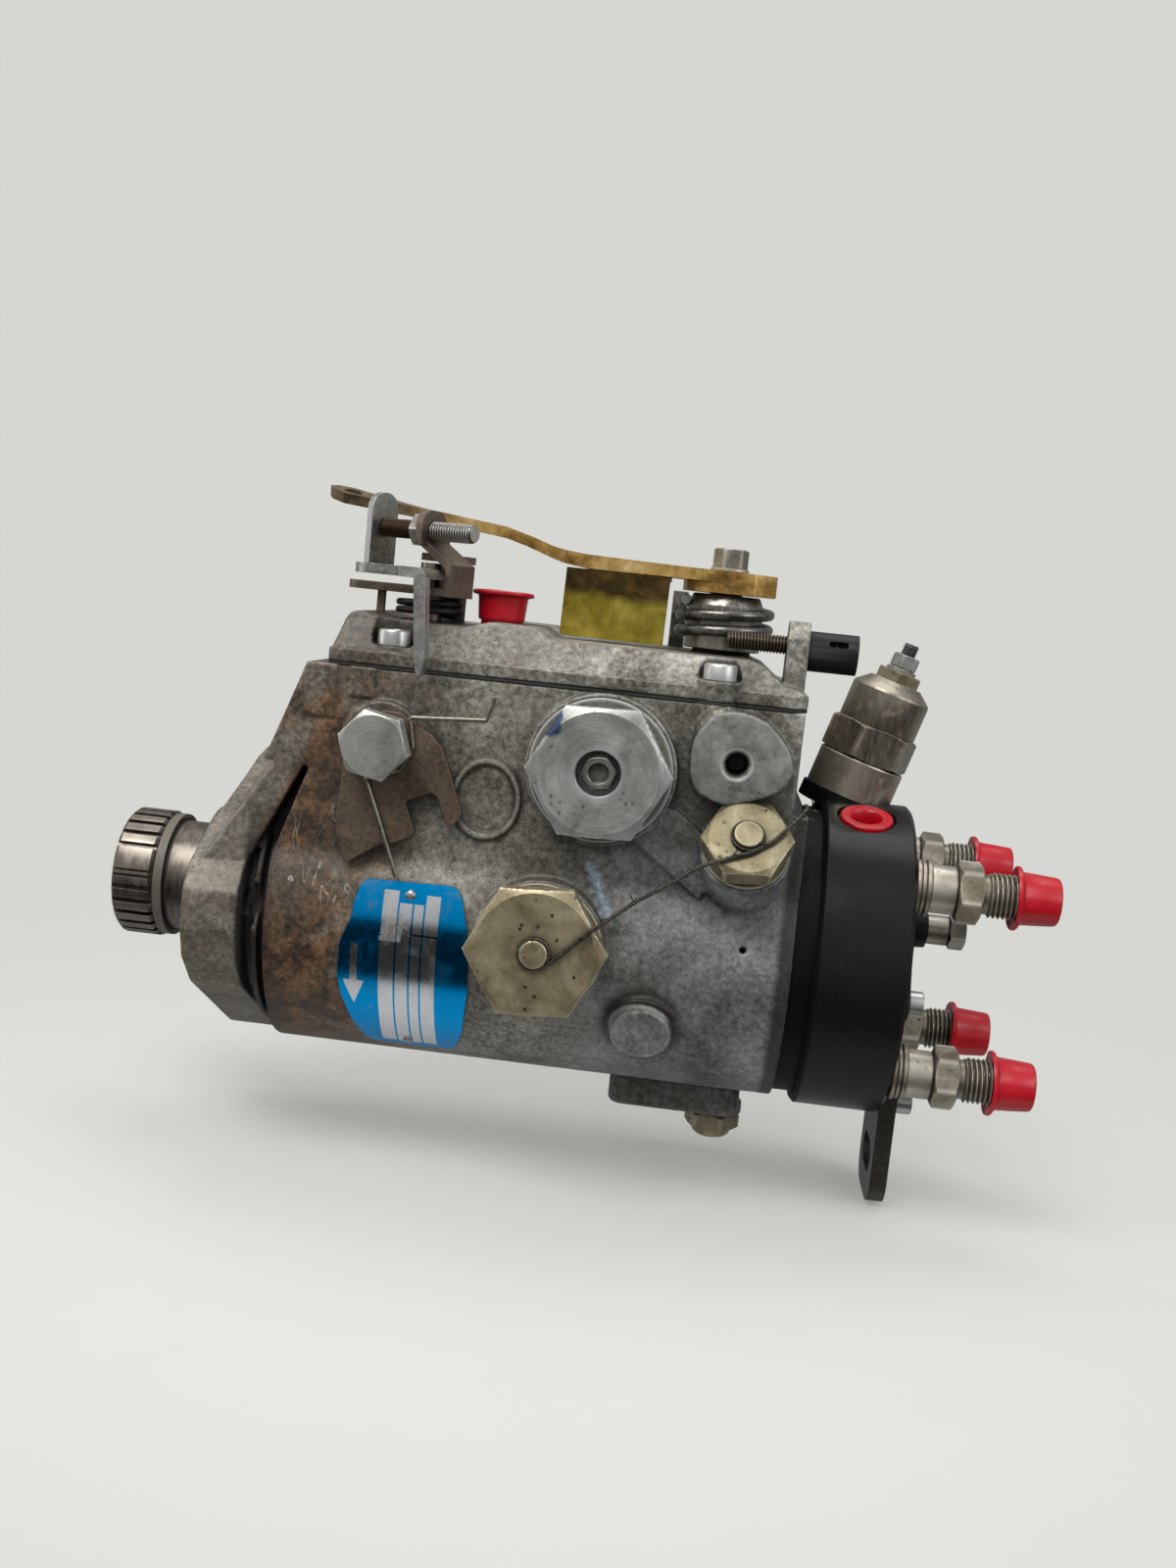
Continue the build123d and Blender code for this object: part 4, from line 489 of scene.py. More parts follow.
    # painted shade: a black band in the gap at the head end
    joint_shade = g.span(g.math('ADD', x, g.math('MULTIPLY', g.math('SUBTRACT', mid, 0.5), 0.003)), 0.1815, 0.1835)
    col = g.mix(g.math('MULTIPLY', g.math('MULTIPLY', joint_shade, g.span(z, 0.068, 0.060)), 0.85), col, (0.020, 0.018, 0.016))
    # edges rubbed bright
    pt = g.point()
    col = g.mix(g.math('MULTIPLY', g.span(pt, 0.535, 0.60), g.span(fine, 0.35, 0.60, 0.10, 0.55)), col, (0.48, 0.47, 0.435))
    # machined face of the tapped boss, with tool marks round the hole
    fx = g.math('MULTIPLY', g.span(y, -0.0486, -0.0489), g.span(g.dist((163.8, -49.4, 62.5)), 0.0185, 0.0178))
    v = g.node("ShaderNodeVectorMath", {0: g.P, 1: (0.1638, 0.0, 0.0625)}, operation='SUBTRACT')
    v = g.node("ShaderNodeVectorMath", {0: v, 1: (1.0, 0.0, 1.0)}, operation='MULTIPLY')
    rr = g.node("ShaderNodeVectorMath", {0: v}, out=1, operation='LENGTH')
    arcs = g.noise(1.0, 4, 0.8, 0, g.node("ShaderNodeCombineXYZ", {0: g.math('MULTIPLY', rr, 2100), 1: 0.0, 2: 0.0}))
    face = g.ramp(g.math('ADD', g.math('MULTIPLY', arcs, 0.35), g.math('MULTIPLY', mid, 0.65)),
                  [(0.36, (0.105, 0.105, 0.100)), (0.50, (0.21, 0.212, 0.205)), (0.66, (0.33, 0.33, 0.318))])
    col = g.mix(g.math('MULTIPLY', fx, 0.85), col, face)
    ring = g.math('MULTIPLY', fx, g.span(g.math('ABSOLUTE', g.math('SUBTRACT', rr, 0.0046)), 0.0006, 0.0003))
    col = g.mix(g.math('MULTIPLY', ring, 0.6), col, (0.44, 0.44, 0.42))
    # oval ring on the wall: painted shade in its foot, painted highlight on its crown
    ex = g.math('DIVIDE', g.math('SUBTRACT', x, 0.0898), 0.0106)
    ez = g.math('DIVIDE', g.math('SUBTRACT', z, 0.0434), 0.0124)
    er = g.math('SQRT', g.math('ADD', g.math('MULTIPLY', ex, ex), g.math('MULTIPLY', ez, ez)))
    er = g.math('ADD', er, g.math('MULTIPLY', g.math('SUBTRACT', mid, 0.5), 0.05))
    wall = g.span(y, -0.030, -0.036)
    foot_shade = g.math('MAXIMUM', g.math('MULTIPLY', g.span(er, 0.98, 1.02), g.span(er, 1.16, 1.04)), g.math('MULTIPLY', g.span(er, 0.70, 0.82), g.span(er, 0.89, 0.85)))
    col = g.mix(g.math('MULTIPLY', g.math('MULTIPLY', foot_shade, wall), 0.72), col, (0.022, 0.018, 0.014))
    crown_highlight = g.math('MULTIPLY', g.span(g.math('ABSOLUTE', g.math('SUBTRACT', er, 0.93)), 0.05, 0.02), wall)
    col = g.mix(g.math('MULTIPLY', crown_highlight, 0.28), col, (0.40, 0.385, 0.35))
    # pale bluish line along the crease between the plugs
    cr = None
    for p in ((121, -38.6, 32.6), (122.3, -40.6, 29.5), (123.6, -42.3, 26.4), (125, -43.6, 23.4), (126.4, -44.7, 20.3), (128, -45.6, 17.0), (129.6, -46.2, 13.8)):
        m = g.span(g.dist(p), 0.0027, 0.0013)
        cr = m if cr is None else g.math('MAXIMUM', cr, m)
    col = g.mix(g.math('MULTIPLY', cr, 0.75), col, g.ramp(fine, [(0.36, (0.16, 0.21, 0.27)), (0.62, (0.42, 0.52, 0.60))]))
    # blank boss: painted shadow on the shoulder, stronger on its upper side, and a painted highlight on the rim
    bn = g.node("ShaderNodeVectorMath", {0: g.P, 1: tuple(c * MM for c in BLANK_P)}, operation='SUBTRACT')
    bc = g.node("ShaderNodeVectorMath", {0: bn, 1: BLANK_N}, operation='CROSS_PRODUCT')
    br = g.node("ShaderNodeVectorMath", {0: bc}, out=1, operation='LENGTH')
    near = g.span(g.dist(BLANK_P), 0.026, 0.022)
    shoulder_shadow = g.math('MULTIPLY', g.span(br, 0.0094, 0.0099), g.span(g.math('ADD', br, g.math('MULTIPLY', g.math('SUBTRACT', mid, 0.5), 0.004)), 0.0145, 0.0112))
    shoulder_shadow = g.math('MULTIPLY', g.math('MULTIPLY', shoulder_shadow, near), g.span(z, -0.034, -0.016, 0.45, 1.0))
    col = g.mix(g.math('MULTIPLY', shoulder_shadow, 0.92), col, (0.018, 0.015, 0.012))
    rim_highlight = g.math('MULTIPLY', g.math('MULTIPLY', g.span(g.math('ABSOLUTE', g.math('SUBTRACT', br, 0.0090)), 0.0006, 0.0002), near), g.span(mid, 0.35, 0.55, 0.3, 0.9))
    col = g.mix(g.math('MULTIPLY', rim_highlight, 0.35), col, (0.45, 0.45, 0.43))
    # long scratches under the screw
    scr = g.noise(1.0, 1, 0.4, 0.6, g.stretch(150, 60, 62))
    scr = g.math('MULTIPLY', g.span(g.math('ABSOLUTE', g.math('SUBTRACT', scr, 0.5)), 0.0042, 0.0016), g.span(g.dist((40, -46, 20)), 0.021, 0.012))
    col = g.mix(g.math('MULTIPLY', scr, 0.55), col, (0.46, 0.44, 0.40))
    # pores and black specks
    pores = g.span(g.voro(640), 0.22, 0.10)
    pores = g.math('MULTIPLY', pores, g.span(g.noise(85, 4), 0.47, 0.60))
    col = g.mix(g.math('MULTIPLY', pores, 0.85), col, (0.014, 0.012, 0.010))
    wet = g.math('MAXIMUM', g.math('MAXIMUM', st, crevice_shade_and_grime), oil_and_valley_shade)
    col = g.node("ShaderNodeVectorMath", {0: col, 1: (1.22, 1.22, 1.20)}, operation='MULTIPLY')
    g.color(col)
    g.metal(g.math('MULTIPLY', g.math('SUBTRACT', 1.0, wet, clamp=True), 0.45))
    rgh = g.span(g.math('ADD', g.math('MULTIPLY', mid, 0.5), g.math('MULTIPLY', fine, 0.5)), 0.34, 0.66, 0.40, 0.70)
    g.rough(g.math('SUBTRACT', rgh, g.math('MULTIPLY', wet, 0.10)))
    g.bump((grain, 0.40, 0.12), (fine, 0.50, 0.28), (mid, 0.30, 0.50), (g.math('SUBTRACT', 1.0, pores), 0.5, 0.20))
    return g.m


def mat_zinc(name, c0, c1, c2, speck=0.5, ring=None, metal=0.85, patch=None, foot_shade=None, thread_root_shade=None):
    """Plated steel with stains, specks and, on turned faces, fine rings about ring = (point, axis)."""
    g = Mat(name, 0.4, metal)
    big = g.noise(70, 6, 0.62, 0.6)
    fine = g.noise(900, 4, 0.7)
    col = g.ramp(g.math('ADD', g.math('MULTIPLY', big, 0.75), g.math('MULTIPLY', fine, 0.25)), [(0.32, c0), (0.5, c1), (0.68, c2)])
    sp = g.math('MULTIPLY', g.span(g.math('ADD', g.voro(300), g.math('MULTIPLY', g.noise(900, 3), 0.12)), 0.30, 0.19), g.span(g.noise(95, 4), 0.50, 0.58))
    col = g.mix(g.math('MULTIPLY', sp, speck), col, (0.020, 0.015, 0.010))
    film = g.span(g.noise(48, 7, 0.68, 0.8), 0.52, 0.72, 0.0, 0.45)
    col = g.mix(g.math('MULTIPLY', film, speck), col, tuple(c * 0.45 for c in c0))
    # painted shade: crevices darkened by ambient occlusion
    occ = g.ao(3.0, 5)
    crevice_shade = g.math('MULTIPLY', g.span(occ, 0.86, 0.36), g.span(fine, 0.3, 0.6, 0.6, 0.95))
    col = g.mix(crevice_shade, col, (0.022, 0.017, 0.012))
    # painted shade on the seat under the head: the foot goes dark, and below it turns less metallic and rougher
    if foot_shade:
        fo, fa, fh = foot_shade
        fv = g.node("ShaderNodeVectorMath", {0: g.P, 1: tuple(Vector(fo) * MM)}, operation='SUBTRACT')
        fd = g.node("ShaderNodeVectorMath", {0: fv, 1: tuple(unit(fa))}, out=1, operation='DOT_PRODUCT')
        seat_shade = g.span(fd, (fh + 0.3) * MM, fh * MM)
        col = g.mix(g.math('MULTIPLY', seat_shade, 0.88), col, g.ramp(fine, [(0.36, (0.022, 0.018, 0.013)), (0.62, (0.115, 0.10, 0.08))]))
    ed = g.span(g.point(), 0.515, 0.56)
    col = g.mix(g.math('MULTIPLY', ed, 0.45), col, tuple(min(0.85, c * 1.5) for c in c2))
    if thread_root_shade:
        # painted shade in the thread roots
        go, ga, gl, gh = thread_root_shade
        gv = g.node("ShaderNodeVectorMath", {0: g.P, 1: tuple(Vector(go) * MM)}, operation='SUBTRACT')
        gc = g.node("ShaderNodeVectorMath", {0: gv, 1: tuple(unit(ga))}, operation='CROSS_PRODUCT')
        gd = g.node("ShaderNodeVectorMath", {0: gc}, out=1, operation='LENGTH')
        gd = g.math('MULTIPLY', g.span(gd, gh * MM, (gh - 0.25) * MM), g.span(gd, (gl - 0.05) * MM, gl * MM))
        col = g.mix(g.math('MULTIPLY', gd, 0.88), col, (0.022, 0.017, 0.012))
    layers = [(fine, 0.16, 0.05), (big, 0.10, 0.12)]
    if patch:
        p, r, pc = patch
        d = g.math('ADD', g.dist(p), g.math('MULTIPLY', g.math('SUBTRACT', g.noise(160, 4), 0.5), 0.006))
        col = g.mix(g.span(d, r * MM, (r - 0.9) * MM), col, pc)
    if ring:
        p, ax = ring
        o = Vector(p) * MM
        v = g.node("ShaderNodeVectorMath", {0: g.P, 1: tuple(o)}, operation='SUBTRACT')
        c = g.node("ShaderNodeVectorMath", {0: v, 1: tuple(unit(ax))}, operation='CROSS_PRODUCT')
        r = g.node("ShaderNodeVectorMath", {0: c}, out=1, operation='LENGTH')
        r2 = g.math('ADD', r, g.math('MULTIPLY', g.noise(40, 2), 0.0008))
        w = g.math('SINE', g.math('MULTIPLY', r2, 2 * PI / 0.00052))
        w2 = g.noise(1.0, 4, 0.8, 0, g.node("ShaderNodeCombineXYZ", {0: g.math('MULTIPLY', r2, 1900), 1: 0.0, 2: 0.0}))
        col = g.mix(g.span(w2, 0.42, 0.62, 0.0, 0.55), col, c0)
        col = g.mix(g.span(w2, 0.42, 0.32, 0.0, 0.45), col, tuple(min(0.9, k * 1.35) for k in c2))
        layers = [(w, 0.16, 0.03), (w2, 0.55, 0.06)] + layers
    g.color(col)
    rg = g.math('ADD', g.span(big, 0.3, 0.7, 0.26, 0.50), g.math('MULTIPLY', sp, 0.3))
    if foot_shade:
        g.metal(g.math('MULTIPLY', g.math('SUBTRACT', 1.0, g.math('MULTIPLY', seat_shade, 0.9)), metal))
        rg = g.math('ADD', rg, g.math('MULTIPLY', seat_shade, 0.3))
    g.rough(rg)
    g.bump(*layers)
    return g.m


def mat_steel(name, c0, c1, rust=0.3, rough=(0.3, 0.5), metal=0.9, brush=None, rustcol=(0.10, 0.045, 0.02), worn=0.5, band=None):
    g = Mat(name, 0.4, metal)
    vec = g.stretch(*brush) if brush else g.P
    big = g.noise(60, 6, 0.62, 0.5)
    fine = g.noise(700, 5, 0.7, 0, vec)
    col = g.ramp(g.math('ADD', g.math('MULTIPLY', big, 0.45), g.math('MULTIPLY', fine, 0.55)), [(0.34, c0), (0.64, c1)])
    rs = g.span(g.noise(95, 7, 0.66, 0.8), 0.62 - 0.14 * rust, 0.76 - 0.10 * rust)
    rs = g.math('MULTIPLY', rs, min(1.0, 0.25 + rust))
    col = g.mix(rs, col, g.ramp(fine, [(0.35, tuple(c * 0.5 for c in rustcol)), (0.65, rustcol)]))
    # painted shade: corners darkened by ambient occlusion
    occ = g.ao(3.0, 4)
    col = g.mix(g.math('MULTIPLY', g.span(occ, 0.75, 0.3), 0.75), col, (0.015, 0.012, 0.010))
    # painted shade: a dark band between two x positions, over the undercut behind the drive drum; it also counts as
    # rust for metal and roughness
    if band:
        x = g.xyz()[0]
        bm = g.math('MULTIPLY', g.span(x, band[0][0] - 0.0003, band[0][0]), g.span(x, band[0][1] + 0.0006, band[0][1]))
        col = g.mix(g.math('MULTIPLY', bm, 0.9), col, band[1])
        rs = g.math('MAXIMUM', rs, g.math('MULTIPLY', bm, 0.8))
    if worn:
        ed = g.span(g.point(), 0.515, 0.57)
        col = g.mix(g.math('MULTIPLY', ed, worn), col, tuple(min(0.75, c * 2.0) for c in c1))
    g.color(col)
    g.metal(g.math('MULTIPLY', g.math('SUBTRACT', 1.0, rs), metal))
    g.rough(g.math('ADD', g.span(fine, 0.3, 0.7, rough[0], rough[1]), g.math('MULTIPLY', rs, 0.25)))
    g.bump((fine, 0.18, 0.06), (rs, 0.3, 0.08), (g.noise(2400, 3), 0.12, 0.04))
    return g.m


def mat_black(name, v=0.006, rough=(0.26, 0.40), joint_shade=None):
    g = Mat(name, 0.35, 0.0)
    g.b.inputs["Specular IOR Level"].default_value = 0.20
    big = g.noise(38, 6, 0.62, 0.3)
    fine = g.noise(1100, 4, 0.7)
    col = g.ramp(g.math('ADD', g.math('MULTIPLY', big, 0.6), g.math('MULTIPLY', fine, 0.4)), [(0.35, (v, v, v * 1.05)), (0.68, (v * 2.4, v * 2.3, v * 2.3))])
    dust = g.math('MULTIPLY', g.span(g.noise(220, 6, 0.7), 0.60, 0.74), 0.22)
    col = g.mix(dust, col, (0.075, 0.070, 0.062))
    pt = g.point()
    col = g.mix(g.math('MULTIPLY', g.span(pt, 0.54, 0.62), 0.30), col, (0.11, 0.108, 0.105))
    # painted shade: the head goes near black by the gap to the housing; that part also counts as dusty for roughness
    if joint_shade:
        jn = g.span(g.xyz()[0], joint_shade[0] + 0.0010, joint_shade[0])
        col = g.mix(jn, col, (0.0016, 0.0015, 0.0014))
        dust = g.math('MAXIMUM', dust, g.math('MULTIPLY', jn, 0.6))
    # painted shade: corners darkened by ambient occlusion
    occ = g.ao(4.0, 4)
    col = g.mix(g.math('MULTIPLY', g.span(occ, 0.80, 0.35), 0.8), col, (0.0015, 0.0014, 0.0013))
    g.color(col)
    g.rough(g.math('ADD', g.span(big, 0.3, 0.7, rough[0], rough[1]), g.math('MULTIPLY', dust, 0.5)))
    g.bump((fine, 0.10, 0.04), (g.noise(300, 4), 0.08, 0.06))
    return g.m


def mat_gold(name, olive=False):
    """Yellow-chromated sheet, browned in patches."""
    g = Mat(name, 0.4, 0.85)
    big = g.noise(42, 7, 0.64, 0.8)
    mid = g.noise(160, 6, 0.66, 0.4)
    fine = g.noise(1300, 4, 0.7)
    if olive:
        col = g.ramp(g.math('ADD', g.math('MULTIPLY', big, 0.6), g.math('MULTIPLY', mid, 0.4)),
                     [(0.32, (0.16, 0.115, 0.014)), (0.46, (0.33, 0.25, 0.030)), (0.58, (0.46, 0.365, 0.060)), (0.72, (0.56, 0.47, 0.11))])
    else:
        col = g.ramp(g.math('ADD', g.math('MULTIPLY', big, 0.6), g.math('MULTIPLY', mid, 0.4)),
                     [(0.34, (0.10, 0.050, 0.014)), (0.44, (0.40, 0.225, 0.060)), (0.54, (0.68, 0.44, 0.14)), (0.66, (0.86, 0.67, 0.36))])
    st = g.span(g.noise(85, 7, 0.68, 1.0), 0.58, 0.72)
    col = g.mix(g.math('MULTIPLY', st, 0.45 if olive else 0.88), col, g.ramp(mid, [(0.35, (0.025, 0.014, 0.008)), (0.65, (0.11, 0.055, 0.022))]))
    if olive:
        # dark oily area towards the top edge
        z = g.xyz()[2]
        top = g.span(g.math('ADD', z, g.math('MULTIPLY', g.math('SUBTRACT', g.noise(60, 5), 0.5), 0.010)), 0.1058, 0.1094)
        col = g.mix(g.math('MULTIPLY', top, 0.92), col, g.ramp(mid, [(0.35, (0.022, 0.013, 0.007)), (0.65, (0.110, 0.062, 0.024))]))
    else:
        # plain steel and grime towards the free end
        x = g.xyz()[0]
        far = g.span(g.math('ADD', x, g.math('MULTIPLY', g.math('SUBTRACT', g.noise(45, 5), 0.5), 0.05)), 0.072, 0.040)
        col = g.mix(g.math('MULTIPLY', far, 0.85), col, g.ramp(mid, [(0.35, (0.055, 0.042, 0.030)), (0.65, (0.19, 0.155, 0.115))]))
    sp = g.math('MULTIPLY', g.span(g.voro(500), 0.16, 0.07), g.span(g.noise(100, 3), 0.50, 0.62))
    col = g.mix(g.math('MULTIPLY', sp, 0.7), col, (0.03, 0.02, 0.01))
    g.color(col)
    g.rough(g.span(g.math('ADD', mid, g.math('MULTIPLY', st, 0.3)), 0.3, 0.9, 0.28, 0.62))
    g.bump((fine, 0.15, 0.05), (mid, 0.12, 0.10))
    return g.m


def mat_red(name):
    g = Mat(name, 0.32, 0.0)
    n = g.noise(60, 4, 0.5)
    col = g.ramp(n, [(0.35, (0.41, 0.0015, 0.008)), (0.65, (0.52, 0.003, 0.016))])
    g.color(g.mix(g.span(g.noise(420, 5, 0.7), 0.62, 0.76, 0.0, 0.25), col, (0.30, 0.02, 0.03)))
    g.rough(g.span(g.noise(300, 4), 0.3, 0.7, 0.26, 0.42))
    g.b.inputs["Subsurface Weight"].default_value = 0.08
    g.b.inputs["Subsurface Scale"].default_value = 0.002
    g.bump((g.noise(900, 3), 0.06, 0.05), (n, 0.08, 0.3))
    return g.m


def mat_plate(name):
    """Blue anodised plate: blank silver strips, thin dark lines, a white arrow. No lettering."""
    g = Mat(name, 0.2, 1.0)
    x, y, z = g.xyz()[0], g.xyz()[1], g.xyz()[2]
    ang = g.math('MULTIPLY', g.math('ARCTAN2', z, g.math('MULTIPLY', y, -1.0)), 180 / PI)   # degrees above -Y
    def band(v, lo, hi, soft):
        return g.math('MULTIPLY', g.span(v, lo - soft, lo), g.span(v, hi + soft, hi))
    def box(x0, x1, a0, a1):
        return g.math('MULTIPLY', band(x, x0 * MM, x1 * MM, 0.00012), band(ang, a0, a1, 0.15))
    n = g.noise(30, 5, 0.5)
    blue = g.ramp(n, [(0.35, (0.001, 0.31, 0.76)), (0.65, (0.002, 0.38, 0.86))])
    silver = (0.84, 0.86, 0.87)
    col = blue
    # three blank strips with blue lines between them
    for s in ((62.2, 66.7, -52.5, 15.2), (67.4, 71.2, -52.8, 11.0), (71.9, 74.7, -52.8, 11.0), (75.4, 79.6, -52.5, 14.6)):
        col = g.mix(box(*s), col, silver)
    for s in ((71.9, 79.6, -0.3, 0.25),):
        col = g.mix(box(*s), col, (0.01, 0.09, 0.30))
    # arrow: shaft and head
    col = g.mix(box(53.3, 55.4, -20.4, -5.6), col, (0.80, 0.82, 0.84))
    hx = g.math('ABSOLUTE', g.math('SUBTRACT', x, 54.4 * MM))
    tri = g.math('MULTIPLY', g.span(g.math('ADD', g.math('MULTIPLY', g.math('ADD', ang, 30.6), 0.00031), -0.0000), 0.0, 0.0031, 0.0, 0.0031), 1.0)
    head = g.math('MULTIPLY', g.math('LESS_THAN', hx, tri), band(ang, -30.6, -20.0, 0.1))
    col = g.mix(head, col, (0.80, 0.82, 0.84))
    # wear: grey rubs and brown dirt at the edge
    rub = g.span(g.noise(190, 6, 0.7, 0.5, g.stretch(1.0, 1.0, 0.35)), 0.60, 0.72, 0.0, 0.55)
    col = g.mix(g.math('MULTIPLY', rub, 0.5), col, (0.40, 0.44, 0.46))
    dn = g.noise(130, 7, 0.7, 0.6)
    dirt = g.math('MULTIPLY', g.span(dn, 0.52, 0.66), g.span(ang, -2.0, 8.0, 0.10, 0.85))
    strip = g.math('MULTIPLY', box(61.6, 68.4, -3.0, 14.5), g.span(dn, 0.44, 0.56))
    dirt = g.math('MAXIMUM', dirt, g.math('MULTIPLY', strip, 0.85))
    col = g.mix(dirt, col, (0.11, 0.085, 0.055))
    g.color(col)
    g.metal(g.math('SUBTRACT', 1.0, g.math('MULTIPLY', dirt, 0.8)))
    g.rough(g.math('ADD', g.span(g.noise(350, 5, 0.6), 0.3, 0.7, 0.13, 0.24), g.math('MULTIPLY', dirt, 0.3)))
    g.bump((g.noise(1400, 3), 0.05, 0.02), (g.noise(60, 3), 0.06, 0.20))
    return g.m


def mat_insulator(name):
    g = Mat(name, 0.55, 0.0)
    n = g.noise(150, 6, 0.65)
    g.color(g.ramp(n, [(0.3, (0.06, 0.048, 0.026)), (0.5, (0.17, 0.145, 0.085)), (0.7, (0.27, 0.24, 0.155))]))
    g.rough(g.span(n, 0.3, 0.7, 0.45, 0.7))
    g.bump((g.noise(800, 4), 0.2, 0.08), (n, 0.15, 0.2))
    return g.m


def mat_floor():
    """Matt pale floor that thins out away from the object, so no horizon shows."""
    g = Mat("floor_paint", 0.6, 0.0)
    n = g.noise(3.0, 4, 0.5)
    g.color(g.ramp(n, [(0.3, (0.70, 0.70, 0.67)), (0.7, (0.715, 0.715, 0.685))]))
    g.rough(g.span(g.noise(60, 3), 0.3, 0.7, 0.55, 0.65))
    d = g.dist((117.0, 0.0, -81.0))
    n = g.t.nodes.new("ShaderNodeMapRange")
    n.interpolation_type = 'SMOOTHSTEP'
    g.t.links.new(d, n.inputs[0])
    n.inputs[1].default_value, n.inputs[2].default_value = 0.10, 0.40
    n.inputs[3].default_value, n.inputs[4].default_value = 0.62, 0.0
    g.t.links.new(n.outputs[0], g.b.inputs["Alpha"])
    return g.m


BIG_C, BIG_AX = (124.0, -60.0, 56.6), (0, -1, 0)
M_CAST = mat_cast("cast_grey")
M_COVER = mat_cast("cast_grey_cover", 1.0)
M_KHAKI = mat_zinc("zinc_khaki", (0.085, 0.065, 0.032), (0.245, 0.208, 0.118), (0.43, 0.385, 0.26), 1.0, None, 0.6, None, ((169.3, 0, 0), (0, -math.cos(math.radians(37.5)), math.sin(math.radians(37.5))), 62.6))
M_KHAKI2 = mat_zinc("zinc_khaki_low", (0.13, 0.102, 0.050), (0.30, 0.255, 0.150), (0.47, 0.42, 0.29), 0.85, None, 0.6)
M_INSP = mat_zinc("zinc_khaki_plug", (0.17, 0.135, 0.072), (0.335, 0.285, 0.175), (0.45, 0.405, 0.28), 1.0, None, 0.5, None, ((110.6, 0, 0), (0, -1, math.tan(math.radians(1.5))), 52.9))
M_UNION = mat_zinc("zinc_union", (0.13, 0.105, 0.066), (0.33, 0.30, 0.23), (0.56, 0.535, 0.46), 0.8, None, 0.7)
M_BIG = mat_zinc("zinc_bright_turned", (0.19, 0.192, 0.172), (0.43, 0.44, 0.415), (0.66, 0.68, 0.66), 0.75, (BIG_C, BIG_AX), 0.62, ((109.6, -58.2, 69.6), 3.9, (0.003, 0.035, 0.13)), ((124.0, 0, 56.6), (0, -1, 0), 51.75))
M_BRIGHT = mat_zinc("zinc_bright", (0.20, 0.195, 0.175), (0.40, 0.395, 0.37), (0.62, 0.615, 0.59), 0.5)
M_HEAD = mat_black("black_oxide", 0.0055, (0.24, 0.38), (0.1945,))
M_SLEEVE = mat_black("black_sleeve", 0.008, (0.35, 0.5))
M_SPRING = mat_steel("spring_steel", (0.060, 0.055, 0.050), (0.24, 0.23, 0.215), 0.25, (0.20, 0.38), worn=0)
M_BSPRING = mat_black("black_spring", 0.010, (0.3, 0.5))
M_STEEL = mat_steel("dull_steel", (0.11, 0.105, 0.095), (0.34, 0.325, 0.30), 0.30)
M_LEVER = mat_steel("lever_steel", (0.12, 0.112, 0.10), (0.44, 0.43, 0.40), 0.32)
M_RUSTY = mat_steel("rusty_plate", (0.032, 0.023, 0.016), (0.150, 0.112, 0.080), 0.85, (0.34, 0.56), 0.6, None, (0.130, 0.066, 0.034))
M_BRACKET = mat_steel("bracket_steel", (0.030, 0.026, 0.023), (0.085, 0.075, 0.064), 0.35, (0.35, 0.55), 0.7)
M_DRIVE = mat_steel("drive_steel", (0.085, 0.070, 0.058), (0.30, 0.262, 0.225), 0.22, (0.24, 0.42), 0.95, (1.0, 0.25, 0.25), (0.09, 0.05, 0.03))
# its band is painted shade over the undercut behind the drum
M_SHAFT = mat_steel("drive_shaft_steel", (0.060, 0.052, 0.043), (0.25, 0.222, 0.19), 0.22, (0.28, 0.46), 0.95, (1.0, 0.25, 0.25), (0.09, 0.05, 0.03), band=((-0.0206, -0.0166), (0.018, 0.015, 0.012)))
M_WIRE = mat_steel("wire_steel", (0.10, 0.088, 0.065), (0.36, 0.33, 0.27), 0.25, worn=0)
M_SOL = mat_steel("solenoid_steel", (0.13, 0.112, 0.085), (0.35, 0.315, 0.255), 0.62, (0.26, 0.44), 0.9, (1, 1, 0.2), (0.13, 0.075, 0.040))
M_GOLD = mat_gold("gold_chromate")
M_TAB = mat_gold("olive_chromate", True)
M_RED = mat_red("red_plastic")
M_PLATE = mat_plate("blue_anodised")
M_INS = mat_insulator("insulator")
M_GASKET = mat_black("gasket_black", 0.012, (0.6, 0.8))
M_PAINT = Mat("blue_paint", 0.35, 0.0)
M_PAINT.color(M_PAINT.ramp(M_PAINT.noise(200, 5, 0.6), [(0.3, (0.006, 0.035, 0.11)), (0.7, (0.012, 0.075, 0.20))]))
M_PAINT.bump((M_PAINT.noise(500, 4), 0.2, 0.08))
M_PAINT = M_PAINT.m
M_TEAL = Mat("teal_plastic", 0.45, 0.0)
M_TEAL.color(M_TEAL.ramp(M_TEAL.noise(300, 4, 0.6), [(0.3, (0.008, 0.06, 0.075)), (0.7, (0.015, 0.11, 0.13))]))
M_TEAL.bump((M_TEAL.noise(700, 3), 0.1, 0.05))
M_TEAL = M_TEAL.m


# --------------------------------------------------------------- fittings
def hexhead(h0, h1, af, top=0.0, bottom=0.0, topr=0.955):
    """Rings of a hexagon head from h0 to h1 with its corners turned off."""
    rc = af / 2 / math.cos(PI / 6)
    rt = af / 2 * topr
    out = []
    k = math.tan(math.radians(26))
    d = 1 if h1 > h0 else -1
    if bottom:
        for i in range(5):
            r = rt + (rc - rt) * i / 4
            out.append((h0 + d * (r - rt) * k * bottom, r, af))
    else:
        out.append((h0, rc, af))
    if top:
        for i in range(8):
            r = rc - (rc - rt) * i / 7
            out.append((h1 - d * (r - rt) * k * top, r, af))
        out.append((h1, rt - 0.12, af))
    else:
        out.append((h1, rc, af))
    return out


def front_ref(phi):
    a = math.radians(phi)
    return (math.cos(a), 0, math.sin(a))


def radial_at(x, up):
    """Axis, and a function giving the hexagon's reference direction."""
    a = math.radians(up)
    n = (0, -math.cos(a), math.sin(a))
    yv = (0, math.sin(a), math.cos(a))

    def ref(phi):
        p = math.radians(phi)
        return (math.cos(p), yv[1] * math.sin(p), yv[2] * math.sin(p))
    return (x, 0, 0), n, ref


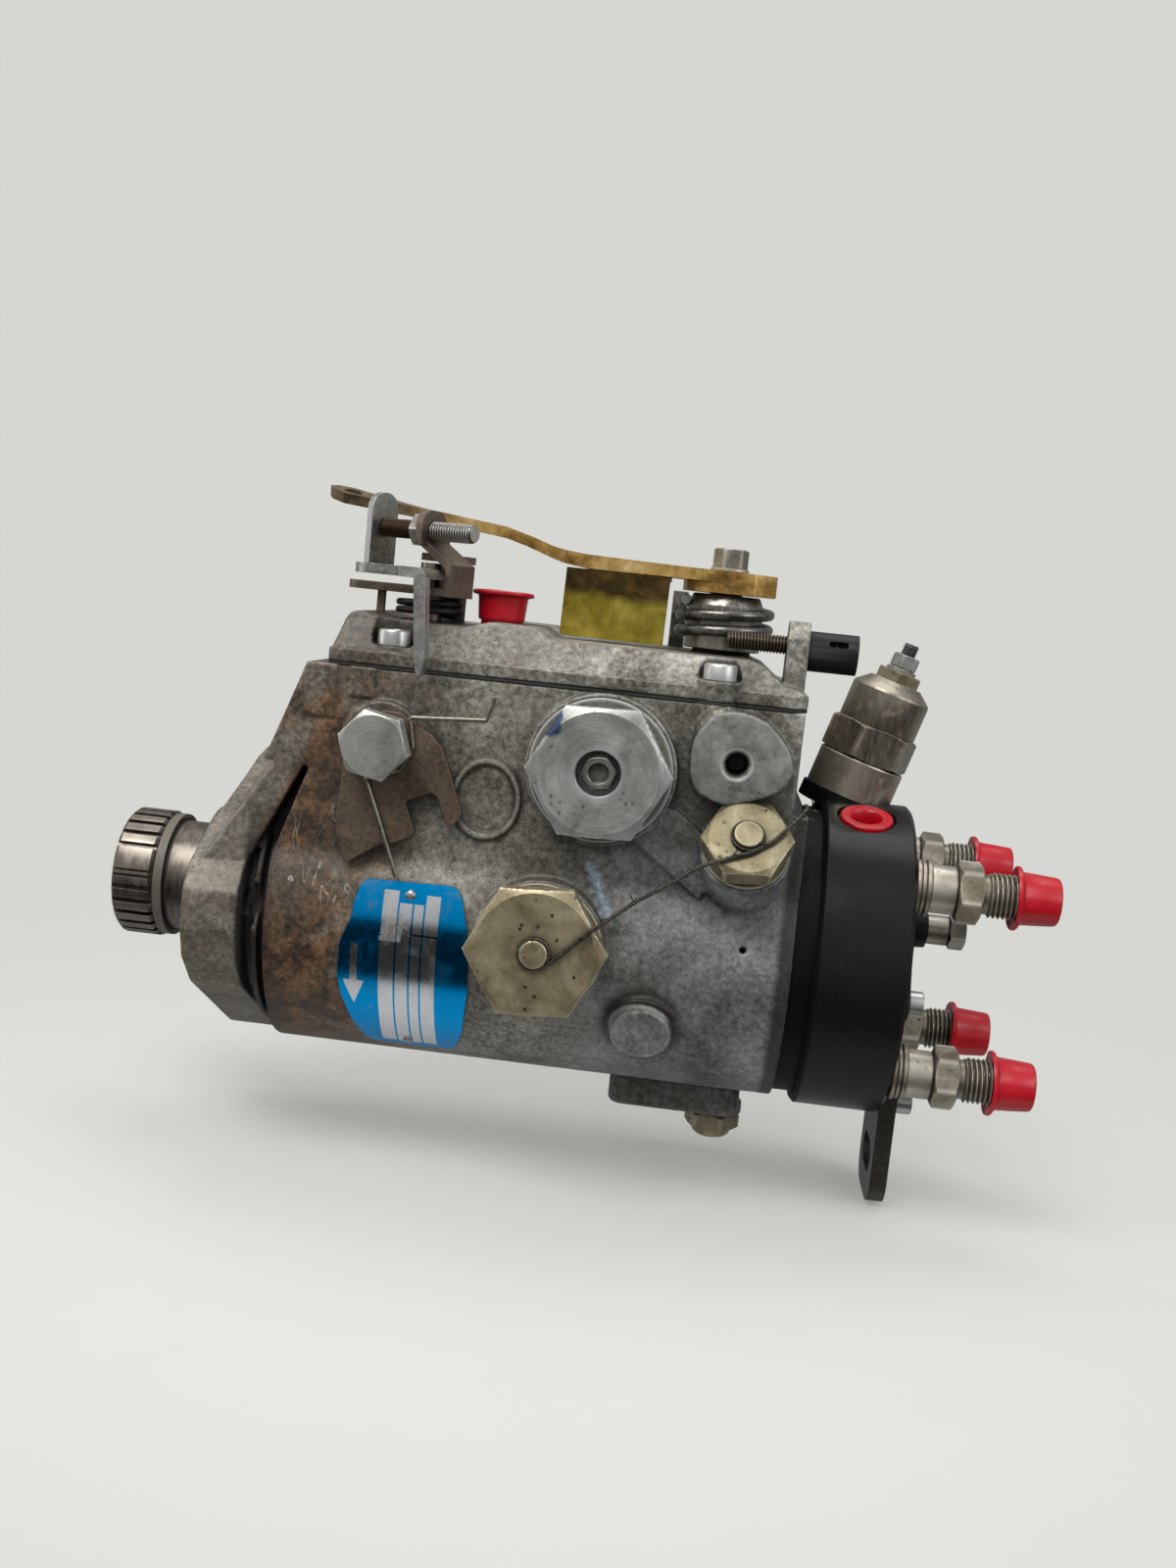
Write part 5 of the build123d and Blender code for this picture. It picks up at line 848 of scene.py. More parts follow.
# governor side plug: washer face, bevelled hexagon, turned face, stepped recess
BO, BA = (124.0, 0, 56.6), (0, -1, 0)
prof = [(36.2, 13.4), (36.8, 13.97), (50.02, 13.97), (50.02, 20.9), (50.4, 21.5), (51.1, 21.55), (51.5, 21.1), (51.6, 20.4)]
prof += [(51.62, 20.2)] + hexhead(51.65, 60.0, 38.0, 1.0, 1.0, 0.945)
prof += [(60.0, 16.0), (59.94, 12.0), (59.97, 9.0), (60.0, 7.0), (59.75, 6.75), (55.4, 6.5), (55.2, 5.05), (36.2, 5.05)]
make("v_side_plug", [turned(prof, BO, BA, front_ref(1.5), 192)], M_BIG, "housing", 22, ("governor_side_plug",))
prof = [(37, 4.2), (37.4, 4.95), (55.22, 4.95), (55.25, 4.6)] + hexhead(55.3, 58.4, 9.2, 0.8, 0, 0.96)
prof += [(58.4, 3.35), (58.1, 3.05), (56.3, 2.88, 5.0 * 1.0), (56.1, 0.0)]
make("v_adjuster", [turned(prof, BO, BA, front_ref(8), 96)], mat_zinc("adjuster_zinc", (0.12, 0.11, 0.09), (0.27, 0.26, 0.23), (0.45, 0.44, 0.41), 0.8), "housing", 24, ("plug_adjuster",))
# outline points of old paint on a bevelled corner, upper left; nothing uses them, the paint comes from the side plug
# material's patch
patch = []
for k in range(15):
    t = math.radians(131 + k * 2.2)
    rr = 20.9 + 0.55 * math.sin(k * 2.1) * 0.5
    patch.append((rr * math.cos(t), rr * math.sin(t)))
inner = []
for k in range(15):
    t = math.radians(131 + k * 2.2)
    inner.append(((19.0 + 0.3 * math.sin(k * 1.3)) * math.cos(t), (19.0 + 0.3 * math.sin(k * 1.3)) * math.sin(t)))

# inspection plug with its drilled sealing pin
io, ia, iref = radial_at(110.6, 1.5)
prof = [(43.5, 12.4), (44, 12.97), (51.34, 12.97), (51.34, 19.1), (51.7, 19.7), (52.4, 19.75), (52.75, 19.3), (52.8, 18.8)]
prof += hexhead(52.85, 60.4, 37.8, 1.0, 1.0, 0.95)
prof += [(60.4, 5.1), (60.28, 4.9), (60.28, 4.45), (60.4, 4.22), (62.45, 4.2), (62.7, 3.9), (62.72, 3.2), (62.66, 0.0)]
make("v_inspection_plug", [turned(prof, io, ia, iref(3.7), 192)], M_INSP, "housing", 22, ("inspection_plug",))

vo, va, vref = radial_at(169.3, 37.5)
prof = [(47.2, 7.4), (47.8, 7.97), (61.04, 7.97), (61.04, 12.4), (61.4, 12.85), (62.2, 12.88), (62.5, 12.4)]
prof += hexhead(62.55, 69.7, 24.0, 1.0, 0.8, 0.95)
prof += [(69.7, 5.0), (69.6, 4.9), (69.6, 4.5), (69.7, 4.32), (71.85, 4.3), (72.15, 4.0), (72.18, 3.2), (72.12, 0.0)]
make("v_vent_plug", [turned(prof, vo, va, vref(4), 192)], M_KHAKI, "housing", 22, ("upper_vent_plug",))

# locking screw with its plain washer
LO = (56.7, 0, 57.3)
prof = [(36.1, 4.3), (36.6, 4.95), (50.56, 4.95), (50.56, 9.15), (50.7, 9.38), (51.2, 9.38), (51.34, 9.15), (51.34, 8.9)]
prof += hexhead(51.36, 58.2, 19.0, 1.0, 0, 0.955)
prof += [(58.2, 0.0)]
make("v_locking_screw", [turned(prof, LO, BA, front_ref(48), 144)],
     mat_zinc("zinc_bolt", (0.25, 0.25, 0.225), (0.44, 0.44, 0.41), (0.60, 0.60, 0.57), 0.8, ((56.7, -58, 57.3), (0, -1, 0)), 0.6, None, ((56.7, 0, 57.3), (0, -1, 0), 51.4)), "lock_screw", 22, ("locking_screw",))

# cover screws: slightly domed cheese heads with sockets
ps = []
for x, y in ((156.0, -41.5), (156.0, 41.5), (56.5, -38.0), (56.5, 38.0)):
    prof = [(66.0, 2.4), (66.6, 2.95), (86.32, 2.95), (86.32, 4.85), (86.5, 5.0), (90.4, 5.0), (90.95, 4.75), (91.2, 4.3), (91.2, 3.2), (90.9, 2.95), (88.4, 2.85, 5.0), (88.25, 0.0)]
    o = len(ps)
    ps.append(turned(prof, (x, y, 0), (0, 0, 1), (1, 0, 0), 72))
make("v_cover_screws", ps, M_BRIGHT, "housing", 28, ("cover_screws",))

# rivets: snap heads with a dimple
ps = []
for x, a in ((70.2, 14.3), (70.4, -51.0)):
    o, n, rf = radial_at(x, a)
    prof = [(48.8, 1.6), (49.05, 1.6)]
    for k in range(1, 7):
        t = k * PI / 14
        prof.append((49.05 + 0.9 * math.sin(t) * 0.98, 1.6 * math.cos(t)))
    prof += [(49.72, 0.35), (49.62, 0.0)]
    ps.append(turned(prof, o, n, (1, 0, 0), 40))
make("v_rivets", ps, M_BRIGHT, "housing", 50, ("name_plate_rivets",))

# outlet unions: ridged washers, body, hexagon, M14 x 1.5 thread
OUT = [(0.0, -29.3, 29.3), (0.0, -29.3, -29.3), (-4.0, 29.3, 29.3), (-4.0, 29.3, -29.3)]
un, ws, cp = [], [], []
for i, (dx, y, z) in enumerate(OUT):
    ref = (0, math.cos(math.radians(12)), math.sin(math.radians(12)))
    prof = [(206 + dx, 5.4), (206.6 + dx, 5.97), (226.62 + dx, 5.97), (226.62 + dx, 7.1), (226.9 + dx, 7.45), (233.6 + dx, 7.5), (234.3 + dx, 7.3), (234.7 + dx, 6.9), (234.8 + dx, 6.9)]
    prof += hexhead(234.85 + dx, 242.3 + dx, 17.0, 1.0, 1.0, 0.95)
    prof += [(242.3 + dx, 6.5), (242.5 + dx, 6.1), (244.2 + dx, 6.05), (244.3 + dx, 5.8)]
    prof += [(257.8 + dx, 5.8), (258.3 + dx, 5.2), (258.35 + dx, 1.7), (206.2 + dx, 1.7)]
    un.append(turned(prof, (0, y, z), (1, 0, 0), ref, 96))
    un.append(thread((244.25 + dx, y, z), (1, 0, 0), 13.9, 6.98, 1.5, 0.92, ref, 64, 10, (0.9, 1.6)))
    for x0, rr in ((222.05, 8.7), (223.6, 8.3), (225.1, 8.7)):
        prof = [(x0 + dx, 6.05), (x0 + dx, rr - 0.45), (x0 + 0.3 + dx, rr - 0.08), (x0 + 0.74 + dx, rr), (x0 + 1.18 + dx, rr - 0.08), (x0 + 1.46 + dx, rr - 0.45), (x0 + 1.46 + dx, 6.05)]
        ws.append(turned(prof, (0, y, z), (1, 0, 0), ref, 96))
    # dust cap: rolled rim, tapered body with shallow flutes of the moulding, soft end
    c = 252.0 + dx
    prof = [(c + 1.0, 7.2), (c - 0.0, 9.2), (c + 0.05, 9.9), (c + 0.5, 10.1), (c + 1.1, 10.05), (c + 1.55, 9.6), (c + 1.75, 9.0), (c + 2.2, 8.45), (c + 3.0, 8.2), (c + 8, 7.85),
            (c + 12.6, 7.5), (c + 13.4, 7.2), (c + 13.75, 6.7), (c + 13.8, 6.0), (c + 13.5, 5.4), (c + 13.4, 0.0)]
    v, f = turned(prof, (0, y, z), (1, 0, 0), ref, 120)
    v = [Vector(q) for q in v]
    for q in v:
        dy, dz = q.y - y * MM, q.z - z * MM
        r = math.hypot(dy, dz)
        if r > 1e-6:
            t = math.atan2(dz, dy)
            k = 0.0
            if c * MM + 0.0025 < q.x < c * MM + 0.0132:
                k = -0.00010 * (0.5 + 0.5 * math.cos(12 * t + i)) - 0.00008 * math.sin(3 * t + i * 1.7)
            elif q.x < c * MM + 0.0018:
                k = -0.00018 * (0.5 + 0.5 * math.sin(2 * t + i * 2.1)) - 0.0001 * (0.5 + 0.5 * math.sin(5 * t + i))
                q.x += 0.00022 * math.sin(2 * t + i * 1.3) + 0.00022
            q.y += dy / r * k
            q.z += dz / r * k
    cp.append((v, f))
make("v_unions", un, M_UNION, "housing", 24, ("outlet_unions",))
make("v_washers", ws, mat_zinc("copper_grey_rings", (0.10, 0.085, 0.06), (0.24, 0.21, 0.165), (0.42, 0.38, 0.31), 0.4), "housing", 40, ("outlet_washers",))
make("v_caps", cp, M_RED, "housing", 38, ("outlet_caps",))

# inlet plug and return cap: moulded, with an open dished middle
no, na, nref = radial_at(206.8, 71.5)
prof = [(40.2, 6.2), (40.6, 6.5), (48.3, 6.5), (48.3, 8.0), (48.6, 8.35), (49.6, 8.4), (50.05, 8.15), (50.25, 7.7), (50.2, 5.6), (49.9, 5.15), (49.2, 4.7), (47.2, 4.35), (44.6, 4.2), (44.2, 3.6), (44.1, 0.0)]
make("v_inlet_plug", [turned(prof, no, na, (1, 0, 0), 96)], M_RED, "housing", 40, ("inlet_plug",))
prof = [(88.1, 6.2), (88.5, 6.5), (96.42, 6.5), (96.42, 7.05), (97.0, 7.45), (98.0, 7.52), (103.6, 7.95), (104.2, 8.2), (104.6, 8.9), (104.75, 9.55), (105.15, 9.88), (105.8, 9.85), (106.15, 9.4), (106.1, 8.4), (105.5, 7.3), (104.6, 6.7), (92.4, 5.5), (92.1, 5.0), (92.0, 0.0)]
v, f = turned(prof, (84.4, -8.0, 0), (0, 0, 1), (1, 0, 0), 120)
v = [Vector(q) for q in v]
for q in v:
    dx, dy = q.x - 0.0844, q.y + 0.008
    r = math.hypot(dx, dy)
    t = math.atan2(dy, dx)
    if q.z > 0.1045 and r > 0.0072:
        q.z += -0.00030 * (0.5 + 0.5 * math.sin(2 * t + 0.6)) * min(1.0, (r - 0.0072) / 0.0015)
make("v_return_cap", [(v, f)], M_RED, "housing", 40, ("return_cap",))

# solenoid
SA = math.radians(16.5)
SO, SX = (202.2, 10.6, 50.6), (math.sin(SA), 0, math.cos(SA))


def sref(phi):
    p = math.radians(phi)
    return (math.cos(SA) * math.cos(p), math.sin(p), -math.sin(SA) * math.cos(p))


prof = [(-12, 8.4), (-11.5, 8.95), (0.06, 8.95), (0.06, 13.9), (0.3, 14.2), (12.3, 14.2), (12.75, 13.95), (12.8, 13.5)]
prof += hexhead(12.85, 24.6, 26.4, 0.9, 0.7, 0.965)
prof += [(24.62, 12.9), (24.9, 13.0), (36.2, 13.0), (37.0, 12.6), (39.9, 9.0), (40.35, 8.5), (40.4, 7.9), (40.4, 4.2), (21.2, 4.1), (-12, 4.1)]
make("v_solenoid", [turned(prof, SO, SX, sref(10), 144)], M_SOL, "housing", 22, ("solenoid_body",))
prof = [(40.42, 4.0)] + hexhead(40.45, 44.0, 14.0, 0.9, 0, 0.93) + [(44.0, 5.2), (44.05, 5.0), (44.2, 4.9)]
ins = turned(prof + [(44.2, 2.7), (40.5, 2.7)], SO, SX, sref(24), 96)
prof = [(44.22, 2.6), (44.22, 4.9), (44.5, 5.0), (45.1, 4.98), (45.2, 4.5)] + hexhead(45.25, 49.8, 8.0, 1.0, 0.8, 0.93) + [(49.8, 2.5)]
nut = turned(prof, SO, SX, sref(12), 96)
stud = thread(tuple(Vector(SO) + Vector(SX) * 49.0), SX, 4.7, 2.55, 0.8, 0.42, sref(0), 48, 8, (0.1, 0.6))
o1 = make("v_terminal", [ins], M_INS, "housing", 24, ("solenoid_terminal",))
o2 = make("v_terminal_nut", [nut], M_BRIGHT, "housing", 24, ())
o3 = make("v_terminal_stud", [stud], mat_steel("stud_dark", (0.05, 0.05, 0.048), (0.16, 0.155, 0.15), 0.2), "housing", 40, ())

# regulating valve, head screws
prof = [(223.1, 3.0), (223.5, 3.54), (231.5, 3.54), (231.5, 4.5), (231.8, 4.78), (238.2, 4.8), (238.6, 4.4)] + hexhead(238.65, 244.0, 10.0, 1.0, 1.0, 0.94) + [(244.0, 2.2), (243.5, 1.9), (243.3, 0.0)]
make("v_reg_valve", [turned(prof, (0, -2.0, 11.4), (1, 0, 0), (0, math.cos(math.radians(15)), math.sin(math.radians(15))), 96)],
     mat_zinc("valve_zinc", (0.10, 0.09, 0.07), (0.23, 0.215, 0.18), (0.38, 0.36, 0.31), 0.6), "housing", 24, ("regulating_valve",))
ps = []
for (y, z), x0, x1 in [((2.5, 21.5), 226.7, 231.3), ((17.75, -10.25), 226.7, 231.3), ((-17.75, -10.25), 226.7, 231.3), ((-9.5, -44.5), 227.9, 232.9), ((13.5, -43.5), 227.9, 232.9)]:
    prof = [(208.2, 2.0), (208.6, 2.45), (x0, 2.45), (x0, 4.05), (x0 + 0.2, 4.2), (x1 - 0.5, 4.2), (x1 - 0.1, 3.95), (x1, 3.6), (x1, 2.5), (x1 - 0.25, 2.3, 4.0), (x1 - 2.3, 2.3, 4.0), (x1 - 2.5, 0.0)]
    ps.append(turned(prof, (0, y, z), (1, 0, 0), (0, 1, 0), 72))
make("v_head_screws", ps, M_BRIGHT, "housing", 26, ("head_end_screws",))

# locating fitting under the advance housing
prof = [(59.25, 5.0)] + hexhead(59.27, 64.5, 16.0, 0.8, 0.8, 0.95) + [(64.5, 7.0), (66.4, 6.3), (67.4, 5.2), (67.6, 4.4), (67.6, 0)]
make("v_locating", [turned(prof, (169.8, 3, 0), (0, 0, -1), (math.cos(math.radians(10)), -math.sin(math.radians(10)), 0), 96)], M_KHAKI2, "housing", 24,
     ("locating_fitting",))

# lever screw: washer, hexagon, threaded end in the shaft
prof = [(118.35, 2.9), (119.46, 2.9), (119.46, 5.95), (119.6, 6.18), (120.4, 6.2), (120.55, 5.95), (120.56, 5.2)] + hexhead(120.6, 126.7, 10.0, 1.0, 0, 0.94) + [(126.7, 0)]
a8 = math.radians(8)
make("v_lever_screw", [turned(prof, (155.5, 2.0, 0), (0, 0, 1), (math.cos(a8), math.sin(a8), 0), 96)],
     mat_zinc("screw_zinc_worn", (0.16, 0.14, 0.10), (0.34, 0.315, 0.26), (0.58, 0.56, 0.50), 0.6), "throttle", 24, ("throttle_lever_screw",))

# stop screws with real threads
SU = (math.cos(math.radians(-28)), math.sin(math.radians(-28)), 0)
SV = (-SU[1], SU[0], 0)


def stp(u, v, z):
    return (62.0 + SU[0] * u + SV[0] * v, -14.0 + SU[1] * u + SV[1] * v, z)


th = thread(stp(-16.5, -5.5, 122.3), SU, 36.0, 2.98, 1.0, 0.56, SV, 60, 9, (0.6, 1.0))
prof = [(13.6, 2.5)] + hexhead(13.62, 17.45, 9.6, 0.8, 0.8, 0.94) + [(17.45, 2.6)]
nt = turned(prof, stp(-16.5, -5.5, 122.3), SU, SV, 96)
end = turned([(35.6, 2.4), (35.98, 2.1), (36.0, 0.0)], stp(-16.5, -5.5, 122.3), SU, SV, 48)
make("v_stop_screw", [th, nt, end], mat_zinc("stop_screw_zinc", (0.12, 0.10, 0.075), (0.30, 0.28, 0.24), (0.58, 0.57, 0.54), 0.8, None, 0.85, (stp(-11.0, -5.5, 122.3), 8.5, (0.065, 0.040, 0.022)), None, (stp(0, -5.5, 122.3), SU, 2.42, 2.84)), "housing", 36, ("anti_stall_screw",))
th = thread((157.0, -21, 98.4), (1, 0, 0), 34.0, 2.96, 1.0, 0.55, (0, 1, 0), 60, 9, (0.9, 0.6))
prof = [(182.2, 3.0)] + hexhead(182.22, 185.5, 8.8, 0.8, 0, 0.94) + [(185.5, 2.6)]
nt = turned(prof, (0, -21, 98.4), (1, 0, 0), (0, 1, 0), 96)
make("v_speed_screw", [th, nt], mat_steel("speed_screw_steel", (0.035, 0.028, 0.022), (0.17, 0.135, 0.10), 0.45, (0.3, 0.5)), "housing", 36, ("speed_stop_screw",))


# sealing wire: two strands laid together along the CAD wire's line, cut ends frayed
def fillet_path(pts, rad, step=0.45):
    P = [Vector(p) for p in pts]
    out = [P[0]]
    for a, b, c in zip(P, P[1:], P[2:]):
        u, v = (a - b).normalized(), (c - b).normalized()
        ang = u.angle(v)
        t = rad / math.tan(ang / 2) if ang < PI - 1e-3 else 0
        t = min(t, 0.49 * (a - b).length, 0.49 * (c - b).length)
        s, e = b + u * t, b + v * t
        for k in range(9):
            w = k / 8
            out.append(s * (1 - w) ** 2 + b * 2 * w * (1 - w) + e * w ** 2)
    out.append(P[-1])
    res, acc = [out[0]], 0
    for a, b in zip(out, out[1:]):
        L = (b - a).length
        if L < 1e-6:
            continue
        d = step
        while d < L:
            res.append(a + (b - a) * (d / L))
            d += step
        res.append(b)
    clean = [res[0]]
    for p in res[1:]:
        if (p - clean[-1]).length > step * 0.5:
            clean.append(p)
    return clean


WIRE = [(115.4, -61.45, -0.7), (119.4, -61.45, 3.2), (127.1, -61.4, 10.6), (139.2, -61.0, 21.0), (148.0, -62.0, 27.2),
        (156.3, -63.4, 33.6), (163.9, -61.15, 36.5), (170.6, -59.5, 38.7), (177.0, -56.6, 42.5), (182.6, -53.0, 48.2),
        (185.7, -48.5, 51.2), (186.3, -37.0, 51.2), (186.2, -26.5, 49.5)]


def strands(path, lay, off, r, count=2, wob=0.0):
    out = []
    for j in range(count):
        pts, s, up = [], 0.0, None
        for i, p in enumerate(path):
            d = (path[min(i + 1, len(path) - 1)] - path[max(i - 1, 0)]).normalized()
            if up is None:
                up = basis(d)[0]
            up = (up - d * up.dot(d)).normalized()
            v = d.cross(up)
            if i:
                s += (p - path[i - 1]).length
            t = 2 * PI * (s / lay + j / count)
            o = off * (1 + wob * noise.noise(p * 0.35 + Vector((j * 9.1, 0, 0))))
            pts.append(p + (up * math.cos(t) + v * math.sin(t)) * o)
        out.append(tube(pts, r, 8))
    return out


path = fillet_path(WIRE, 2.4, 0.16)
ps = strands(path, 1.75, 0.36, 0.34, 2, 0.35)
hairs = [((186.2, -48.6, 51.0), (187.1, -50.3, 53.6), (186.7, -51.0, 55.2)),
         ((185.9, -48.8, 51.3), (187.9, -50.2, 51.8), (188.8, -50.6, 51.4)),
         ((184.8, -50.0, 50.2), (186.9, -51.9, 49.2), (187.9, -52.0, 49.3)),
         ((176.4, -57.1, 42.2), (174.2, -58.6, 41.4), (172.6, -58.8, 41.8)),
         ((164.6, -61.2, 36.7), (166.0, -61.3, 38.4), (166.4, -61.2, 39.4)),
         ((138.4, -61.1, 20.4), (137.2, -61.9, 22.4), (137.0, -61.8, 23.3))]
for h in hairs:
    ps.append(tube(fillet_path(h, 1.0, 0.25), 0.2, 6))
# loops round the two pins
for (o, n, rf), hgt, rad, tilt in (((io, ia, iref), 61.5, 4.62, 0.0), ((vo, va, vref), 70.75, 4.75, 0.0)):
    lp = []
    ex, ey = Vector(rf(0)), Vector(rf(90))
    for k in range(90):
        t = 2 * PI * k / 89
        lp.append(Vector(o) + Vector(n) * hgt + (ex * math.cos(t) + ey * math.sin(t)) * rad)
    ps += strands(lp, 1.6, 0.24, 0.26, 2, 0.3)
make("v_seal_wire", ps, mat_steel("seal_wire_steel", (0.030, 0.027, 0.022), (0.17, 0.158, 0.135), 0.3, (0.3, 0.5), worn=0), "housing", 60, ("seal_wire",))


# ------------------------------------------------- sheet parts and levers
lev = refined("throttle_lever", M_GOLD, 0.45, 3, 26)
vx = [v.co for v in lev.data.vertices]
x0 = min(c.x for c in vx)
eye = [c for c in vx if c.x < x0 + 0.016]
ey = (min(c.y for c in eye) + max(c.y for c in eye)) / 2
ez = (min(c.z for c in eye) + max(c.z for c in eye)) / 2
for v in lev.data.vertices:
    t = min(1.0, max(0.0, (x0 + 0.034 - v.co.x) / 0.020))
    t = t * t * (3 - 2 * t)
    if t > 0:
        a = math.radians(11.0) * t
        dy, dz = v.co.y - ey, v.co.z - ez
        v.co.y = ey + dy * math.cos(a) - dz * math.sin(a)
        v.co.z = ez + dy * math.sin(a) + dz * math.cos(a) - 0.0014 * t
lev.data.update()
refined("throttle_stop_plate", mat_gold("gold_worn_plate"), 0.4, 3, 26)
refined("lever_tab", M_TAB, 0.25, 2, 26)
refined("stop_lever", M_LEVER, 0.45, 3, 26)
refined("stop_bracket", mat_steel("bracket_plate", (0.045, 0.034, 0.027), (0.165, 0.130, 0.103), 0.85, (0.34, 0.55), 0.7, None, (0.070, 0.038, 0.024), 0.35), 0.35, 2, 26)
refined("keeper_plate", M_RUSTY, 0.35, 3, 26)
refined("support_bracket", M_BRACKET, 0.5, 3, 26)
refined("end_plate", M_SLEEVE, 0.3, 2, 26)
refined("screw_sleeve", M_SLEEVE, 0.3, 3, 26)
refined("spring_cup", mat_steel("cup_steel", (0.10, 0.09, 0.075), (0.36, 0.34, 0.30), 0.30, (0.22, 0.4)), 0.5, 3, 24)
refined("drive_shaft", M_SHAFT, 0.2, 2, 26)
refined("throttle_shaft", M_DRIVE, 0.2, 2, 26)
refined("stop_shaft", M_DRIVE, 0.2, 2, 26)
refined("hydraulic_head", M_HEAD, 0.35, 3, 26)
refined("solenoid_plunger", M_DRIVE, 0.1, 2, 26)

# wires that the CAD carries as plain rods: keep the place, as a round tube with rounded bends
CLIP = [(90.4, 74.6), (88.6, 67.6), (65.6, 66.0), (67.2, 57.0), (64.2, 50.2), (58.2, 48.0), (53.6, 46.4), (57.2, 38.0), (65.6, 17.4)]
cpth = fillet_path([(x, -49.42, z) for x, z in CLIP], 1.0, 0.4)
k = len(cpth)
ends = [(cpth[0] + (cpth[0] - cpth[1]).normalized() * 0.02)]
make("v_keeper_clip", [tube(cpth, 0.74, 16)], M_WIRE, "housing", 50, ("keeper_clip",))


def coil(o, r, wire, z0, z1, turns, a0, n=14, tail=None, tail0=None, wob=0.0):
    pts = []
    m = int(turns * 56)
    for i in range(m + 1):
        t = a0 + 2 * PI * turns * i / m
        z = z0 + (z1 - z0) * i / m
        rr = r * (1 + wob * math.sin(3.1 * t + 1.0))
        pts.append((o[0] + rr * math.cos(t), o[1] + rr * math.sin(t), z))
    if tail0:
        pts = [tuple(p) for p in tail0] + pts
    if tail:
        pts = pts + [tuple(p) for p in tail]
    return tube(pts, wire, n)


make("v_throttle_spring", [coil((155.5, 2.0), 14.3, 1.75, 97.0, 109.6, 12.6 / 4.9, 0.0)], M_SPRING, "housing", 50, ("throttle_spring",))
make("v_stop_spring", [coil((62.0, -14.0), 9.8, 1.05, 95.9, 101.3, 5.4 / 2.35, 0.0)], M_BSPRING, "housing", 50, ("stop_spring",))

# ------------------------------------------------------------- castings
BACK = []
for bx, bz, br, bh in ((40, 62, 7.5, 1.3), (166, 62, 9.0, 1.8), (104, 52, 11.0, 1.0)):
    hb = NODES["pump_housing"]
    ok, hit, hn, hi = hb.ray_cast(hb.matrix_world.inverted() @ Vector((bx * MM, 0.2, bz * MM)), Vector((0, -1, 0)))
    yw = (hb.matrix_world @ hit).y * 1000 if ok else 42.0
    BACK.append(turned([(yw - 2.5, 0.0), (yw - 2.5, br), (yw + bh - 0.5, br - 0.1), (yw + bh, br - 0.7), (yw + bh, br - 2.4), (yw + bh - 0.6, br - 3.0), (yw + bh - 0.6, 0.0)],
                       (bx, 0, bz), (0, 1, 0), (1, 0, 0), 64))


def rounded_rim(pts, y0, y1, keep):
    """Closed band that follows a smooth curve through pts (x, z): rounds off a boss whose outline is made of short lines."""
    n = len(pts)
    cx, cz = sum(p[0] for p in pts) / n, sum(p[1] for p in pts) / n
    loop = []
    for i in range(n):
        p0, p1, p2, p3 = pts[i - 1], pts[i], pts[(i + 1) % n], pts[(i + 2) % n]
        for k in range(8):
            t = k / 8
            q = []
            for a, b, c, d in zip(p0, p1, p2, p3):
                q.append(0.5 * (2 * b + (c - a) * t + (2 * a - 5 * b + 4 * c - d) * t * t + (3 * b - a - 3 * c + d) * t ** 3))
            loop.append((cx + (q[0] - cx) * 0.985, cz + (q[1] - cz) * 0.985))
    m = len(loop)
    vs = []
    for sc, y in ((1.0, y0), (1.0, y1 + 0.4), (0.975, y1), (keep, y1), (keep, y0)):
        vs += [Vector((cx + (x - cx) * sc, y, cz + (z - cz) * sc)) * MM for x, z in loop]
    fs = []
    for r in range(5):
        a, b = r * m, ((r + 1) % 5) * m
        fs += [(a + i, a + (i + 1) % m, b + (i + 1) % m, b + i) for i in range(m)]
    return vs, fs


RIM = rounded_rim([(150.2, 68.5), (155.5, 76.5), (163, 78.2), (172, 75.5), (179.5, 67), (180, 60), (176, 55), (168, 51.5), (160.9, 50.0),
                   (153, 53.0), (150.1, 59.0)], -40.0, -49.0, 0.62)
CREASE = BACK + [RIM] + [tube(fillet_path(((119.0, -36.6, 34.6), (121.5, -39.0, 31.5), (125.2, -43.2, 23.4), (128.2, -45.4, 16.6), (130.4, -45.9, 10.5)), 6.0, 1.0), 1.5, 14)]
cast_piece("v_housing", "pump_housing", CREASE, M_CAST, 0.56, 2, 0.06)
cast_piece("v_cover", "governor_cover", [], M_COVER, 0.5, 2, 0.05)
cast_piece("v_advance", "advance_housing", [], mat_cast("cast_grey_oily", 0.3, 0.85), 0.5, 3, 0.05)

# the other CAD nodes keep their own shape
OTHER = {"cast_housing": M_CAST, "gasket": M_GASKET, "zinc": M_KHAKI2, "bright_zinc": M_BRIGHT, "blue_plate": M_PLATE,
         "black_steel": M_HEAD, "dark_steel": M_STEEL, "wire": M_WIRE, "gold_chromate": M_GOLD, "red_plastic": M_RED,
         "solenoid_steel": M_SOL, "terminal": M_INS, "machined_steel": M_DRIVE,
         "bush_bronze": mat_steel("bronze", (0.16, 0.085, 0.03), (0.46, 0.27, 0.11), 0.2)}
for n, ob in NODES.items():
    if not ob.hide_render:
        ob.data.materials.clear()
        ob.data.materials.append(OTHER[SLOT[n]])

# ---------------------------------------------------------------- stage
FLOOR_Z = BOX0[0].z * 1000 - 1.0
vs, fs = [], []
NR = 72
for i, r in enumerate((0, 260, 520, 900, 1500, 2400)):
    for k in range(NR):
        t = 2 * PI * k / NR
        vs.append(Vector((117 + r * math.cos(t), r * math.sin(t), FLOOR_Z)) * MM)
    if i:
        for k in range(NR):
            a, b = (i - 1) * NR, i * NR
            q = (k + 1) % NR
            fs.append((a + k, b + k, b + q) if i == 1 else (a + k, b + k, b + q, a + q))
floor = make("floor", [(vs, fs)], mat_floor(), angle=60, fixn=False)
floor.visible_glossy = False


